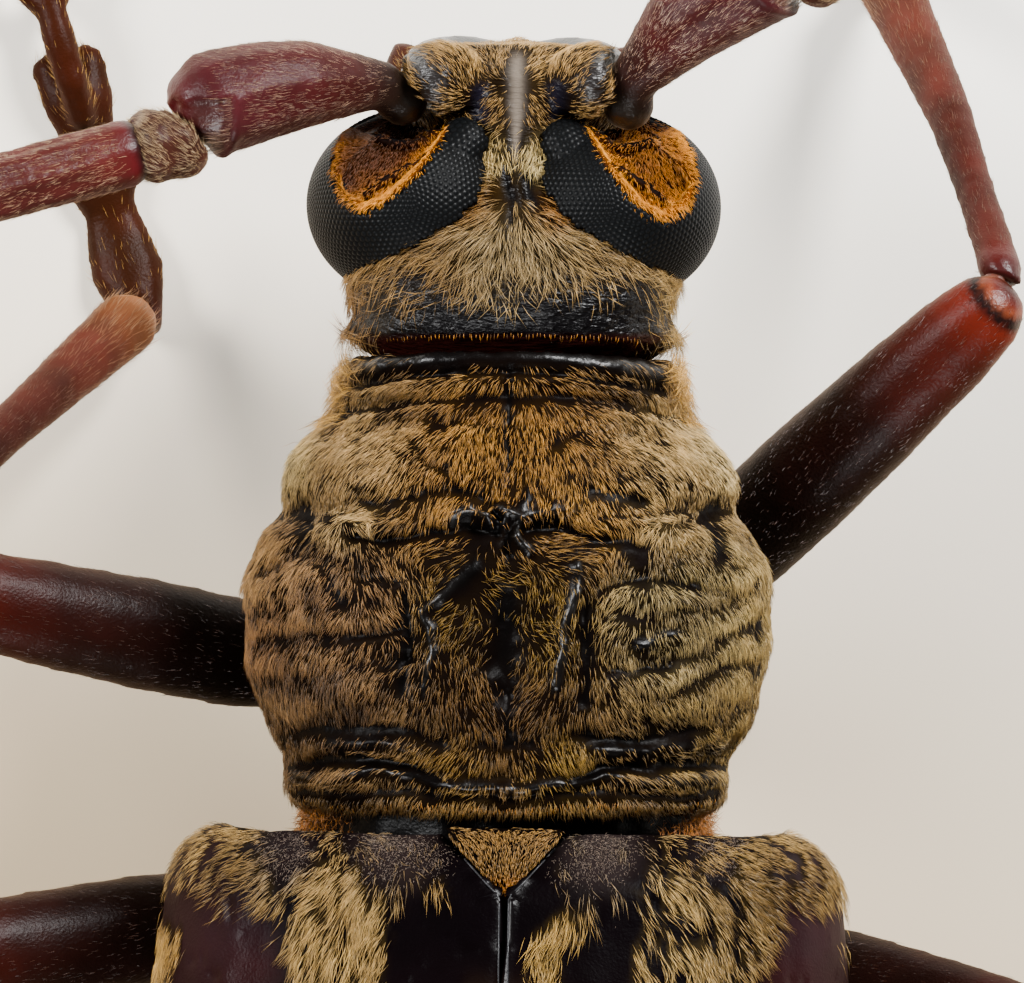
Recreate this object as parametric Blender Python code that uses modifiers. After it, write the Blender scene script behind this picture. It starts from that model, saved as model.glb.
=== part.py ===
"""A large brown longhorn beetle, standing at life size.

Metres, +Z up. The head points to -Y and the beetle's left is +X. The sizes below are in millimetres,
measured from a point on the floor under the joint of prothorax and wing cases. The last step moves
everything so that the origin is the middle of the model's box, at floor level.
"""
import math

import bmesh
import bpy
import numpy as np
from mathutils import Matrix, Vector

MM = 0.001

# Gaps that neighbouring hard pieces keep.
BODY_GAP = 0.3
LINK_GAP = 0.2
PLATE_GAP = 0.15

# Fineness of the meshes.
BODY_SIDES = 36
BODY_STEP = 0.42
HEAD_SIDES = 22
HEAD_STEP = 0.55
UNDERBODY_SIDES = 16
LIMB_SIDES = 10
FEELER_SIDES = 8
FOOT_SIDES = 8

# Prothorax: distance ahead of the wing cases, half width, top and underside.
PROTHORAX = (
    (7.65, 2.62, 11.05, 6.10),
    (7.10, 2.78, 11.30, 5.70),
    (6.60, 2.95, 11.40, 5.40),
    (6.20, 3.42, 11.60, 5.10),
    (5.60, 3.72, 11.85, 4.90),
    (5.20, 3.68, 11.95, 4.80),
    (4.50, 4.12, 12.05, 4.70),
    (3.80, 4.30, 12.10, 4.60),
    (3.00, 4.28, 12.10, 4.60),
    (2.20, 4.15, 12.05, 4.65),
    (1.45, 3.85, 11.90, 4.80),
    (1.00, 3.62, 11.75, 4.95),
    (0.50, 3.60, 11.65, 5.10),
    (0.20, 3.30, 11.40, 5.40),
)
PROTHORAX_LEVEL = 8.3
PROTHORAX_POWER = 2.25
# The collar's hollow: width of its rim, then half width, top and underside at its mouth and floor.
COLLAR_RIM = 0.12
COLLAR_DEPTH = 0.85
COLLAR_MOUTH = (2.30, 10.72, 6.45)
COLLAR_FLOOR = (2.05, 10.50, 6.70)
COLLAR_POWER = 2.25

# Furrows across the pronotum: distance ahead of the wing cases, depth, half breadth of the groove,
# half width over which it runs, and how far its ends bend forward.
FURROWS = (
    (7.02, 0.20, 0.13, 3.2, -0.35),
    (6.55, 0.13, 0.12, 2.6, -0.15),
    (5.05, 0.14, 0.14, 2.0, -0.20),
    (1.35, 0.15, 0.13, 3.6, 0.25),
    (0.92, 0.20, 0.12, 3.6, 0.20),
    (0.50, 0.12, 0.10, 3.4, 0.15),
)
# Hollows and bosses on the disc: sideways place (both sides), distance ahead, height (negative is
# hollow), sideways reach and lengthwise reach.
DISC_RELIEF = (
    (0.0, 2.75, -0.20, 0.45, 0.75),
    (1.15, 2.95, -0.16, 0.16, 0.95),
    (0.0, 5.00, 0.16, 0.35, 0.30),
    (0.62, 3.10, 0.10, 0.26, 0.80),
    (2.30, 5.60, 0.12, 0.60, 0.35),
    (2.55, 3.60, 0.12, 0.55, 0.40),
    (2.45, 2.30, 0.10, 0.55, 0.35),
    (3.35, 5.05, -0.16, 0.35, 0.22),
)
FURROW_FADE = 0.18
# Wrinkles on the sides: height, distance from one to the next, slant, where they begin and how
# softly, and the stretch of the prothorax that has them.
SIDE_WRINKLE = 0.055
SIDE_WRINKLE_LENGTH = 0.62
SIDE_WRINKLE_SLANT = 1.3
SIDE_WRINKLE_START = 2.0
SIDE_WRINKLE_FADE = 0.3
SIDE_WRINKLE_RUN = (1.7, 6.2)
# The relief fades out from the level of the sides upward.
RELIEF_START = -0.8
RELIEF_FADE = 1.6
RELIEF_ROUNDNESS = 12.0

# Head core: distance ahead, half width, top, underside, squareness of the upper half.
HEAD = (
    (7.40, 1.70, 10.20, 7.00, 2.2),
    (7.65, 2.08, 10.60, 6.60, 2.4),
    (7.98, 2.42, 10.92, 6.30, 2.6),
    (8.30, 2.62, 11.05, 6.15, 2.7),
    (8.80, 2.68, 11.12, 6.00, 2.7),
    (9.40, 2.52, 11.04, 5.90, 2.6),
    (9.85, 2.16, 10.85, 5.85, 2.0),
    (10.30, 1.86, 10.56, 5.82, 1.7),
    (10.85, 1.72, 10.30, 5.85, 1.5),
    (11.40, 1.72, 10.22, 5.95, 1.6),
    (11.95, 1.78, 10.18, 6.20, 2.0),
    (12.40, 1.62, 9.85, 6.60, 2.1),
    (12.66, 1.20, 9.20, 7.10, 2.1),
)
HEAD_LEVEL = 8.5
HEAD_LOWER_POWER = 2.4
HEAD_REAR = 7.10
HEAD_FRONT = 12.74
HEAD_FRONT_LEVEL = 8.3

# Rounded parts of the head: centre and radii of each.
TUBERCLE = ((1.22, -12.08, 9.75), (0.78, 0.62, 0.95))
CHEEK = ((1.25, -11.75, 6.95), (0.85, 0.80, 0.75))
CLYPEUS = ((0.0, -12.25, 7.05), (1.15, 0.62, 0.72))
LIP = ((0.0, -12.45, 6.35), (0.82, 0.40, 0.52))

EYE_CENTRE = (1.60, -10.06, 8.90)
EYE_RADII = (1.76, 1.58, 2.10)
# The upper lobe of the eye, and the hollow round the feeler's base that parts it from the lower.
UPPER_LOBE = ((0.80, -11.02, 9.98), (1.25, -10.50, 10.02), (1.95, -9.95, 9.85))
UPPER_LOBE_RADII = (0.44, 0.60, 0.72)
NOTCH_PATH = ((1.66, -11.80, 10.20), (2.12, -11.08, 10.52), (2.70, -10.38, 10.47))
NOTCH_DEPTHS = (0.50, 0.46, 0.36)
NOTCH_REACHES = (0.78, 0.68, 0.30)

SOCKET_CENTRE = (1.86, -11.72, 9.85)
SCAPE_BALL_RADIUS = 0.44

# Wing cases: distance behind their base, half width, top.
WING_CASES = (
    (0.00, 4.55, 11.10),
    (0.30, 5.12, 11.62),
    (0.90, 5.50, 12.08),
    (2.40, 5.64, 12.42),
    (6.00, 5.62, 12.55),
    (12.0, 5.45, 12.45),
    (18.0, 5.05, 12.10),
    (23.0, 4.35, 11.40),
    (26.0, 3.45, 10.55),
    (27.5, 2.55, 9.80),
    (28.0, 1.95, 9.35),
)
WING_CASE_STEP = 2.5
# Extra rings where the shoulder and the tip bend: distance behind the base, and reach.
WING_CASE_BENDS = ((0.6, 0.30), (27.4, 0.35))
WING_CASE_LEVEL = 8.6
WING_CASE_LEAST_RISE = 0.7
WING_CASE_MARGIN = 7.0
WING_CASE_MARGIN_RISE = 0.35
WING_CASE_MARGIN_TUCK = 0.12
WING_CASE_POWER = 2.35
WING_CASE_WALL = 0.55
WING_CASE_ARC_POINTS = 10
SUTURE_HALF_GAP = 0.12
SUTURE_RISE = 0.05

SCUTELLUM_HALF_WIDTH = 0.95
SCUTELLUM_LENGTH = 0.98
SCUTELLUM_TOP = 11.55
SCUTELLUM_THICK = 0.7
SCUTELLUM_FALL = 0.06
SCUTELLUM_MIDDLE = 0.3
SCUTELLUM_POINTEDNESS = 1.35
SCUTELLUM_ARC_POINTS = 9

# Underbody: distance behind the wing case base, half width, top, underside.
REAR_THORAX = (
    (0.12, 3.55, 10.20, 5.20),
    (0.55, 4.20, 10.75, 4.50),
    (1.10, 4.55, 11.05, 4.05),
    (2.50, 4.74, 11.30, 3.70),
    (6.00, 4.75, 11.40, 3.55),
    (9.30, 4.66, 11.35, 3.60),
    (9.90, 4.58, 11.20, 3.80),
)
ABDOMEN = (
    (10.20, 4.50, 11.05, 3.85),
    (11.00, 4.55, 11.10, 3.75),
    (15.00, 4.30, 10.95, 3.80),
    (19.50, 3.90, 10.55, 4.10),
    (23.50, 3.15, 9.85, 4.90),
    (26.00, 2.20, 9.10, 5.90),
    (27.00, 1.35, 8.60, 6.70),
)
UNDERBODY_LEVEL = 7.2
UNDERBODY_TOP_POWER = 2.3
UNDERBODY_KEEL_POWER = 1.75
UNDERBODY_STEP = 1.6
UNDERBODY_TIP = (0.25, 0.20)
VENTRITE_SEAMS = (13.9, 17.0, 20.0, 22.8)
VENTRITE_SEAM_REACH = 0.15
VENTRITE_STEP = 0.13

# Legs. Each row: side (+1 is the beetle's left), pair, hip, knee, ankle and the claws' end, which
# is at floor level; the places are for the left side and are mirrored for the right.
LEGS = (
    (+1, "fore", (3.05, -2.38, 3.95), (10.35, -3.85, 7.75), (6.35, -8.35, 0.95), (8.10, -14.10)),
    (-1, "fore", (2.75, -3.60, 3.95), (8.05, -8.75, 8.00), (6.15, -14.40, 0.95), (7.60, -20.20)),
    (+1, "mid", (3.10, 1.60, 3.50), (11.20, 2.62, 7.70), (14.60, 7.40, 0.95), (17.30, 12.60)),
    (-1, "mid", (3.10, 2.10, 3.50), (10.70, 3.92, 7.60), (13.90, 9.00, 0.95), (16.30, 14.30)),
    (+1, "hind", (3.15, 10.25, 3.40), (10.30, 17.00, 8.00), (13.70, 25.00, 0.95), (15.90, 31.00)),
    (-1, "hind", (3.10, 10.35, 3.40), (9.90, 17.50, 7.90), (14.10, 25.30, 0.95), (17.20, 30.90)),
)
COXAE = {
    "fore": ((2.15, -2.80, 4.30), (1.20, 1.10, 1.20)),
    "mid": ((2.25, 1.85, 3.85), (1.10, 0.95, 1.05)),
    "hind": ((2.20, 9.50, 3.75), (1.75, 0.85, 0.95)),
}
TROCHANTER_RADIUS = 0.62
# How far the rounded end of a limb stands out, as a share of its thickness there.
LIMB_BLUNTNESS = 0.45
# Shares of a limb's length where its bow is set, and how much of the bow is left at the second.
BOW_SHARES = (0.30, 0.67)
BOW_LEFT = 0.8
# Along each limb: share of its length, share of its greatest half width, share of its thickness.
FEMUR_FORM = (
    (0.00, 0.50, 0.55),
    (0.08, 0.80, 0.76),
    (0.20, 0.97, 0.94),
    (0.42, 1.00, 1.00),
    (0.66, 0.93, 0.96),
    (0.86, 0.83, 0.86),
    (0.96, 0.70, 0.76),
    (1.00, 0.45, 0.48),
)
FEMUR_HALF_WIDTH = 0.98
FEMUR_HALF_THICK = 0.74
FEMUR_BOW = 0.35
TIBIA_FORM = (
    (0.00, 0.46, 0.60),
    (0.05, 0.60, 0.74),
    (0.13, 0.50, 0.66),
    (0.50, 0.70, 0.86),
    (0.85, 0.93, 1.00),
    (0.96, 1.00, 1.00),
    (1.00, 0.70, 0.76),
)
TIBIA_HALF_WIDTH = 0.58
TIBIA_HALF_THICK = 0.44
TIBIA_BOW = 0.20
TIBIA_SWING = 0.22
# Foot links: share of the foot where each starts and ends, half width at both ends, height.
FOOT_LINKS = (
    (-0.05, 0.31, 0.34, 0.62, 0.80),
    (0.27, 0.50, 0.38, 0.62, 0.72),
)
LOBED_LINK = (0.48, 0.76, 0.34, 0.40, 0.62)
LOBE_SPREAD = 0.34
SOLE_DROP = 0.10
ANKLE_RISE = 0.42
# The slender last link: share of the foot where it starts and ends, heights and half widths.
CLAW_LINK = (0.56, 0.93)
CLAW_LINK_HEIGHTS = (0.45, 0.81, 0.72)
CLAW_LINK_HALF_WIDTHS = (0.20, 0.25, 0.27, 0.22)
# Each claw, from its root by the knuckle to the point: ahead of the link's end, out and up.
CLAW_PATH = ((-0.15, 0.12, 0.66), (0.37, 0.46, 0.68), (0.80, 0.54, 0.16))
CLAW_RADII = (0.21, 0.18, 0.12)
FLOOR_BLOCK = (200.0, 200.0, 10.0)

# Feelers: length, half width at base, middle and tip, for each link from the scape outwards.
FEELER_LINKS = (
    ("scape", 3.75, 0.38, 0.72, 0.88),
    ("pedicel", 1.15, 0.42, 0.50, 0.47),
    ("link3", 5.20, 0.47, 0.45, 0.55),
    ("link4", 3.80, 0.41, 0.40, 0.52),
    ("link5", 4.70, 0.38, 0.38, 0.49),
    ("link6", 5.20, 0.36, 0.37, 0.47),
    ("link7", 5.20, 0.35, 0.36, 0.45),
    ("link8", 5.00, 0.34, 0.35, 0.43),
    ("link9", 4.80, 0.33, 0.34, 0.41),
    ("link10", 4.30, 0.32, 0.33, 0.39),
    ("link11", 5.30, 0.31, 0.30, 0.22),
)
# The scape's bent neck and back: share of its length, and how far it stands off forward and up.
SCAPE_PATH = ((0.0, 0.0, 0.0), (0.07, 0.28, 0.18), (0.42, 0.36, 0.20), (0.75, 0.20, 0.10), (1.0, 0.0, 0.0))
# Where the pedicel leaves the scape's tip: back along it, and back across it.
PEDICEL_SEAT = (0.30, 0.30)
# Headings in degrees, forward from straight out to the side, and climbs, link by link.
FEELER_HEADINGS = {
    +1: (-5, -17, -17, -24, -33, -43, -51, -59, -66, -72, -78),
    -1: (43, 31, 28, 17, 4, -10, -23, -35, -46, -55, -63),
}
FEELER_CLIMBS = (20, 19, 15, 10, 5, 0, -4, -7, -9, -10, -10)
FEELER_FLATTEN = 0.86
FEELER_LINK_OVERLAP = 0.12
# Shares of a link's length where its sizes hold, and each size as a share of the half width at
# the link's base, middle or tip.
FEELER_MARKS = {
    "scape": (0.0, 0.10, 0.45, 0.66, 0.88, 1.0),
    "pedicel": (0.0, 0.20, 0.45, 0.70, 0.90, 1.0),
    "link11": (0.0, 0.06, 0.50, 0.80, 0.90, 1.0),
    "other": (0.0, 0.05, 0.50, 0.86, 0.96, 1.0),
}
FEELER_BASE_SHARES = (0.70, 1.0)
FEELER_TIP_SHARES = (0.94, 1.0, 0.62)
LAST_LINK_TIP_SHARES = (1.26, 1.16, 0.95)

MANDIBLE = ((1.15, -11.95, 6.75), (1.28, -12.35, 5.85), (0.62, -12.62, 5.15), (0.22, -12.62, 4.85))
MANDIBLE_HALF_WIDTHS = (0.72, 0.66, 0.42, 0.27)
PALP = ((1.05, -10.75, 5.95), (1.75, -11.20, 5.00), (2.00, -12.00, 4.55), (1.75, -12.70, 4.25))
PALP_RADII = (0.28, 0.27, 0.30, 0.34)

COLOURS = {
    "dark_shell": ((0.030, 0.016, 0.012), 0.38),
    "gold_down": ((0.250, 0.160, 0.070), 0.62),
    "wing_case": ((0.120, 0.066, 0.034), 0.45),
    "red_limb": ((0.110, 0.024, 0.015), 0.40),
    "eye_black": ((0.016, 0.017, 0.020), 0.25),
}


def clear_scene():
    for obj in list(bpy.data.objects):
        bpy.data.objects.remove(obj, do_unlink=True)


def new_collection(name):
    collection = bpy.data.collections.new(name)
    bpy.context.scene.collection.children.link(collection)
    return collection


def paint(name):
    """A plain material of one finish; made once and then shared."""
    found = bpy.data.materials.get(name)
    if found:
        return found
    colour, roughness = COLOURS[name]
    material = bpy.data.materials.new(name)
    material.use_nodes = True
    shader = material.node_tree.nodes["Principled BSDF"]
    shader.inputs["Base Color"].default_value = (*colour, 1.0)
    shader.inputs["Roughness"].default_value = roughness
    shader.inputs["Metallic"].default_value = 0.0
    material.diffuse_color = (*colour, 1.0)
    return material


def place(name, mesh, collection, finish=None):
    obj = bpy.data.objects.new(name, mesh)
    collection.objects.link(obj)
    if finish:
        obj.data.materials.append(paint(finish))
    return obj


def smooth_through(places, values, at):
    """A curve through the given values that never overshoots them (monotone cubic)."""
    places = np.asarray(places, float)
    values = np.asarray(values, float)
    if places[0] > places[-1]:
        places, values = places[::-1], values[::-1]
    steps = np.diff(places)
    slopes = np.diff(values) / steps
    tangents = np.concatenate([[slopes[0]], np.zeros(len(slopes) - 1), [slopes[-1]]])
    for i in range(1, len(slopes)):
        if slopes[i - 1] * slopes[i] > 0:
            tangents[i] = 2 * slopes[i - 1] * slopes[i] / (slopes[i - 1] + slopes[i])
    at = np.clip(np.asarray(at, float), places[0], places[-1])
    left = np.clip(np.searchsorted(places, at, side="right") - 1, 0, len(steps) - 1)
    share = (at - places[left]) / steps[left]
    rise = steps[left]
    return (
        (1 + 2 * share) * (1 - share) ** 2 * values[left]
        + share * (1 - share) ** 2 * rise * tangents[left]
        + share**2 * (3 - 2 * share) * values[left + 1]
        + share**2 * (share - 1) * rise * tangents[left + 1]
    )


def closed_loft(name, rings, poles):
    """A closed mesh through rings of points in millimetres, with one pole at each end."""
    shape = bmesh.new()
    loops = [[shape.verts.new(Vector(p) * MM) for p in ring] for ring in rings]
    for first, second in zip(loops, loops[1:]):
        for i in range(len(first)):
            j = (i + 1) % len(first)
            shape.faces.new((first[i], first[j], second[j], second[i]))
    for loop, pole in zip((loops[0], loops[-1]), poles):
        tip = shape.verts.new(Vector(pole) * MM)
        for i in range(len(loop)):
            shape.faces.new((loop[i], loop[(i + 1) % len(loop)], tip))
    bmesh.ops.recalc_face_normals(shape, faces=shape.faces)
    mesh = bpy.data.meshes.new(name)
    shape.to_mesh(mesh)
    shape.free()
    mesh.shade_smooth()
    return mesh


def body_section(y, half_width, top, underside, level, upper_power, lower_power, sides):
    """One cross-section of the body: an upper and a lower half of their own squareness."""
    points = []
    for i in range(sides):
        turn = 2 * math.pi * i / sides
        across, up = math.cos(turn), math.sin(turn)
        power = upper_power if up >= 0 else lower_power
        height = top - level if up >= 0 else level - underside
        x = half_width * math.copysign(abs(across) ** (2 / power), across)
        z = level + height * math.copysign(abs(up) ** (2 / power), up)
        points.append(Vector((x, y, z)))
    return points


def places_along(start, end, step, extra=()):
    """Ring places from start to end about a step apart, closer together round the extra ones."""
    low, high = min(start, end), max(start, end)
    count = max(2, round((high - low) / step) + 1)
    found = set(np.round(np.linspace(low, high, count), 4))
    for centre, reach in extra:
        found = {p for p in found if abs(p - centre) > 1.4 * reach or p in (low, high)}
        near = (centre - reach, centre, centre + reach)
        found |= {round(p, 4) for p in near if low < p < high}
    return sorted(found)


def furrow_height(across, ahead):
    """Height of the pronotum's relief above its plain form, in millimetres."""
    height = 0.0
    for place_ahead, depth, reach, half_run, bend in FURROWS:
        middle = place_ahead + bend * (across / 3.0) ** 2
        fade = 1 / (1 + math.exp((abs(across) - half_run) / FURROW_FADE))
        height -= depth * fade * math.exp(-(((ahead - middle) / reach) ** 2))
    for side, place_ahead, rise, reach_x, reach_y in DISC_RELIEF:
        off = (abs(across) - side) / reach_x
        along = (ahead - place_ahead) / reach_y
        height += rise * math.exp(-(off**2) - along**2)
    beside = 1 / (1 + math.exp((SIDE_WRINKLE_START - abs(across)) / SIDE_WRINKLE_FADE))
    ripple = math.sin(2 * math.pi * ahead / SIDE_WRINKLE_LENGTH + SIDE_WRINKLE_SLANT * across)
    inside = 1 if SIDE_WRINKLE_RUN[0] < ahead < SIDE_WRINKLE_RUN[1] else 0
    return height + SIDE_WRINKLE * beside * ripple * inside


def prothorax_form(grow=0.0, relief=True):
    """The ring of the prothorax, hollowed a little in front to take the head."""
    ahead, widths, tops, undersides = np.array(PROTHORAX).T
    grooves = [(f[0], f[2]) for f in FURROWS] if relief else ()
    rings = []
    for place_ahead in places_along(ahead[-1], ahead[0], BODY_STEP, grooves):
        half_width, top, underside = (
            float(smooth_through(ahead, v, place_ahead)) for v in (widths, tops, undersides)
        )
        ring = body_section(
            -place_ahead,
            half_width + grow,
            top + grow,
            underside - grow,
            PROTHORAX_LEVEL,
            PROTHORAX_POWER,
            PROTHORAX_POWER,
            BODY_SIDES,
        )
        if relief:
            for point in ring:
                rise = point.z - PROTHORAX_LEVEL
                out = Vector((point.x / half_width**2, 0, rise / RELIEF_ROUNDNESS)).normalized()
                facing_up = min(1.0, max(0.0, (rise - RELIEF_START) / RELIEF_FADE))
                point += out * furrow_height(point.x, place_ahead) * facing_up
        rings.append(ring)
    if grow:
        rings[0] = [p + Vector((0, grow, 0)) for p in rings[0]]
        rings[-1] = [p - Vector((0, grow, 0)) for p in rings[-1]]
        poles = [(0, -ahead[-1] + grow, PROTHORAX_LEVEL), (0, -ahead[0] - grow, PROTHORAX_LEVEL)]
        return closed_loft("prothorax_grown", rings, poles)
    for ahead_of_joint, sizes in (
        (ahead[0] - COLLAR_RIM, COLLAR_MOUTH),
        (ahead[0] - COLLAR_DEPTH, COLLAR_FLOOR),
    ):
        powers = (COLLAR_POWER, COLLAR_POWER)
        rings.append(body_section(-ahead_of_joint, *sizes, PROTHORAX_LEVEL, *powers, BODY_SIDES))
    poles = [(0, -ahead[-1], PROTHORAX_LEVEL), (0, -(ahead[0] - COLLAR_DEPTH), PROTHORAX_LEVEL)]
    return closed_loft("prothorax", rings, poles)


def head_core(grow=0.0):
    """The head without eyes, loft from the neck to the brow."""
    ahead, widths, tops, undersides, powers = np.array(HEAD).T
    rings = []
    for place_ahead in places_along(ahead[0], ahead[-1], HEAD_STEP):
        half_width, top, underside, power = (
            float(smooth_through(ahead, v, place_ahead)) for v in (widths, tops, undersides, powers)
        )
        rings.append(
            body_section(
                -place_ahead,
                half_width + grow,
                top + grow,
                underside - grow,
                HEAD_LEVEL,
                power,
                HEAD_LOWER_POWER,
                HEAD_SIDES,
            )
        )
    poles = [(0, -(HEAD_REAR - grow), HEAD_LEVEL), (0, -(HEAD_FRONT + grow), HEAD_FRONT_LEVEL)]
    return closed_loft("head_core", rings, poles)


def underbody_form(name, table, grow=0.0, seams=()):
    """Rear thorax or abdomen: rounded above, bluntly keeled below, with steps at the seams."""
    behind, widths, tops, undersides = np.array(table).T
    rings = []
    closer = [(seam, VENTRITE_SEAM_REACH) for seam in seams]
    for y in places_along(behind[0], behind[-1], UNDERBODY_STEP, closer):
        half_width, top, underside = (
            float(smooth_through(behind, v, y)) for v in (widths, tops, undersides)
        )
        at_seam = any(abs(y - seam) < 0.02 for seam in seams)
        sunk = grow - (VENTRITE_STEP if at_seam else 0.0)
        rings.append(
            body_section(
                y,
                half_width + sunk,
                top + grow,
                underside - sunk,
                UNDERBODY_LEVEL,
                UNDERBODY_TOP_POWER,
                UNDERBODY_KEEL_POWER,
                UNDERBODY_SIDES,
            )
        )
    tip_back, tip_up = UNDERBODY_TIP
    tip = (0, behind[-1] + tip_back + grow, UNDERBODY_LEVEL + tip_up)
    poles = [(0, behind[0] - grow, UNDERBODY_LEVEL), tip]
    if grow:
        rings[0] = [p - Vector((0, grow, 0)) for p in rings[0]]
        rings[-1] = [p + Vector((0, grow, 0)) for p in rings[-1]]
    return closed_loft(name, rings, poles)


def limb_form(name, path, half_widths, half_thicks, broad, sides, between=1, marks=None, grow=0.0):
    """A limb along a smooth path, with oval sections whose broad way is given.

    The half sizes hold at the marks, which are shares of the length, or are spread evenly.
    """
    path = [Vector(p) for p in path]
    runs = np.concatenate([[0.0], np.cumsum([(b - a).length for a, b in zip(path, path[1:])])])
    if marks is None:
        marks = np.linspace(0, 1, len(half_widths))
    shares = []
    for a, b in zip(marks, marks[1:]):
        shares += list(np.linspace(a, b, between, endpoint=False))
    shares = np.array([*shares, marks[-1]])
    centres = np.array(
        [smooth_through(runs, [p[k] for p in path], shares * runs[-1]) for k in range(3)]
    ).T
    wide_at = smooth_through(marks, half_widths, shares) + grow
    thick_at = smooth_through(marks, half_thicks, shares) + grow
    rings = []
    for i, centre in enumerate(centres):
        before, after = centres[max(0, i - 1)], centres[min(len(centres) - 1, i + 1)]
        along = Vector(after - before).normalized()
        side = (Vector(broad) - along * along.dot(Vector(broad))).normalized()
        up = along.cross(side).normalized()
        ring = []
        for k in range(sides):
            turn = 2 * math.pi * k / sides
            ring.append(
                Vector(centre)
                + side * (wide_at[i] * math.cos(turn))
                + up * (thick_at[i] * math.sin(turn))
            )
        rings.append(ring)
    first = Vector(centres[0] - centres[1]).normalized()
    last = Vector(centres[-1] - centres[-2]).normalized()
    poles = [
        Vector(centres[0]) + first * (LIMB_BLUNTNESS * thick_at[0] + grow),
        Vector(centres[-1]) + last * (LIMB_BLUNTNESS * thick_at[-1] + grow),
    ]
    return closed_loft(name, rings, poles)


def ball(name, centre, radii, columns=20, rows=12):
    shape = bmesh.new()
    bmesh.ops.create_uvsphere(shape, u_segments=columns, v_segments=rows, radius=MM)
    bmesh.ops.scale(shape, vec=Vector(radii), verts=shape.verts)
    bmesh.ops.translate(shape, vec=Vector(centre) * MM, verts=shape.verts)
    mesh = bpy.data.meshes.new(name)
    shape.to_mesh(mesh)
    shape.free()
    mesh.shade_smooth()
    return mesh


def mirrored(point, side):
    """The point for that side; sizes are given for the beetle's left, which is +X."""
    return Vector((point[0] * side, *point[1:]))


def apply_modifiers(obj):
    """Gives the object the mesh that its modifiers make, and keeps its largest closed surface."""
    graph = bpy.context.evaluated_depsgraph_get()
    made = bpy.data.meshes.new_from_object(obj.evaluated_get(graph), depsgraph=graph)
    obj.modifiers.clear()
    obj.data = made
    shape = bmesh.new()
    shape.from_mesh(made)
    bmesh.ops.remove_doubles(shape, verts=shape.verts, dist=0.002 * MM)
    shape.faces.ensure_lookup_table()
    unseen = set(shape.faces)
    islands = []
    while unseen:
        island, edge_of_search = set(), [unseen.pop()]
        while edge_of_search:
            face = edge_of_search.pop()
            island.add(face)
            for edge in face.edges:
                for other in edge.link_faces:
                    if other in unseen:
                        unseen.remove(other)
                        edge_of_search.append(other)
        islands.append(island)
    largest = max(islands, key=lambda faces: sum(face.calc_area() for face in faces))
    loose = [face for face in shape.faces if face not in largest]
    bmesh.ops.delete(shape, geom=loose, context="FACES")
    bmesh.ops.triangulate(shape, faces=shape.faces)
    shape.to_mesh(made)
    shape.free()
    made.shade_smooth()
    return obj


def boolean_with(obj, operation, meshes):
    """One Boolean on a collection of the meshes, applied; the collection's objects then go."""
    pieces = bpy.data.collections.new(f"{obj.name}_pieces")
    CUTTERS.children.link(pieces)
    for i, mesh in enumerate(meshes):
        piece = place(f"{obj.name}_piece_{i}", mesh, pieces)
        piece.hide_render = True
        piece.display_type = "WIRE"
    modifier = obj.modifiers.new(operation.lower(), "BOOLEAN")
    modifier.operation = operation
    modifier.solver = "EXACT"
    modifier.operand_type = "COLLECTION"
    modifier.collection = pieces
    apply_modifiers(obj)
    for piece in list(pieces.objects):
        bpy.data.objects.remove(piece, do_unlink=True)
    bpy.data.collections.remove(pieces)
    return obj


def cut_by(obj, *meshes):
    """Takes the meshes' shapes out of the object."""
    return boolean_with(obj, "DIFFERENCE", meshes)


def joined(name, meshes, finish):
    """One closed node from overlapping closed meshes."""
    obj = place(name, meshes[0], BEETLE, finish)
    return boolean_with(obj, "UNION", meshes[1:])


def make_prothorax():
    place("prothorax", prothorax_form(), BEETLE, "gold_down")


def rounded(form, side=1, grow=0.0, columns=12, rows=8):
    """A ball from a row of centre and radii, on the given side."""
    centre, radii = form
    return ball("rounded", mirrored(centre, side), [r + grow for r in radii], columns, rows)


def scape_room(side):
    """The feeler's ball and first link, grown by the gap they keep to the head."""
    socket = (SOCKET_CENTRE, (SCAPE_BALL_RADIUS,) * 3)
    way = feeler_way(side, FEELER_HEADINGS[side][0], FEELER_CLIMBS[0])
    scape = feeler_link(mirrored(SOCKET_CENTRE, side), way, FEELER_LINKS[0], LINK_GAP)
    return [rounded(socket, side, LINK_GAP), scape]


def make_head():
    """Head core with the raised rims of both feeler sockets, the clypeus and the lip."""
    pieces = [head_core(), rounded(CLYPEUS, columns=10, rows=6), rounded(LIP, columns=8, rows=6)]
    for side in (+1, -1):
        pieces.append(rounded(TUBERCLE, side))
        pieces.append(rounded(CHEEK, side, columns=8, rows=6))
    head = joined("head", pieces, "gold_down")
    cut_by(head, *scape_room(+1), *scape_room(-1))


def make_eyes():
    """Kidney-shaped eyes: a tall dome and an upper lobe, less the head and the feeler's hollow."""
    for side, word in ((+1, "left"), (-1, "right")):
        dome = ball("dome", mirrored(EYE_CENTRE, side), EYE_RADII, 20, 13)
        path = [mirrored(p, side) for p in UPPER_LOBE]
        lobe = limb_form("lobe", path, UPPER_LOBE_RADII, UPPER_LOBE_RADII, (0, 0, 1), 8, 2)
        eye = joined(f"eye_{word}", [dome, lobe], "eye_black")
        path = [mirrored(p, side) for p in NOTCH_PATH]
        notch = limb_form("notch", path, NOTCH_DEPTHS, NOTCH_REACHES, (0, 0, 1), 12, 2)
        cutters = [head_core(LINK_GAP), rounded(TUBERCLE, side, LINK_GAP), notch]
        cut_by(eye, *cutters, *scape_room(side))


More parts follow.
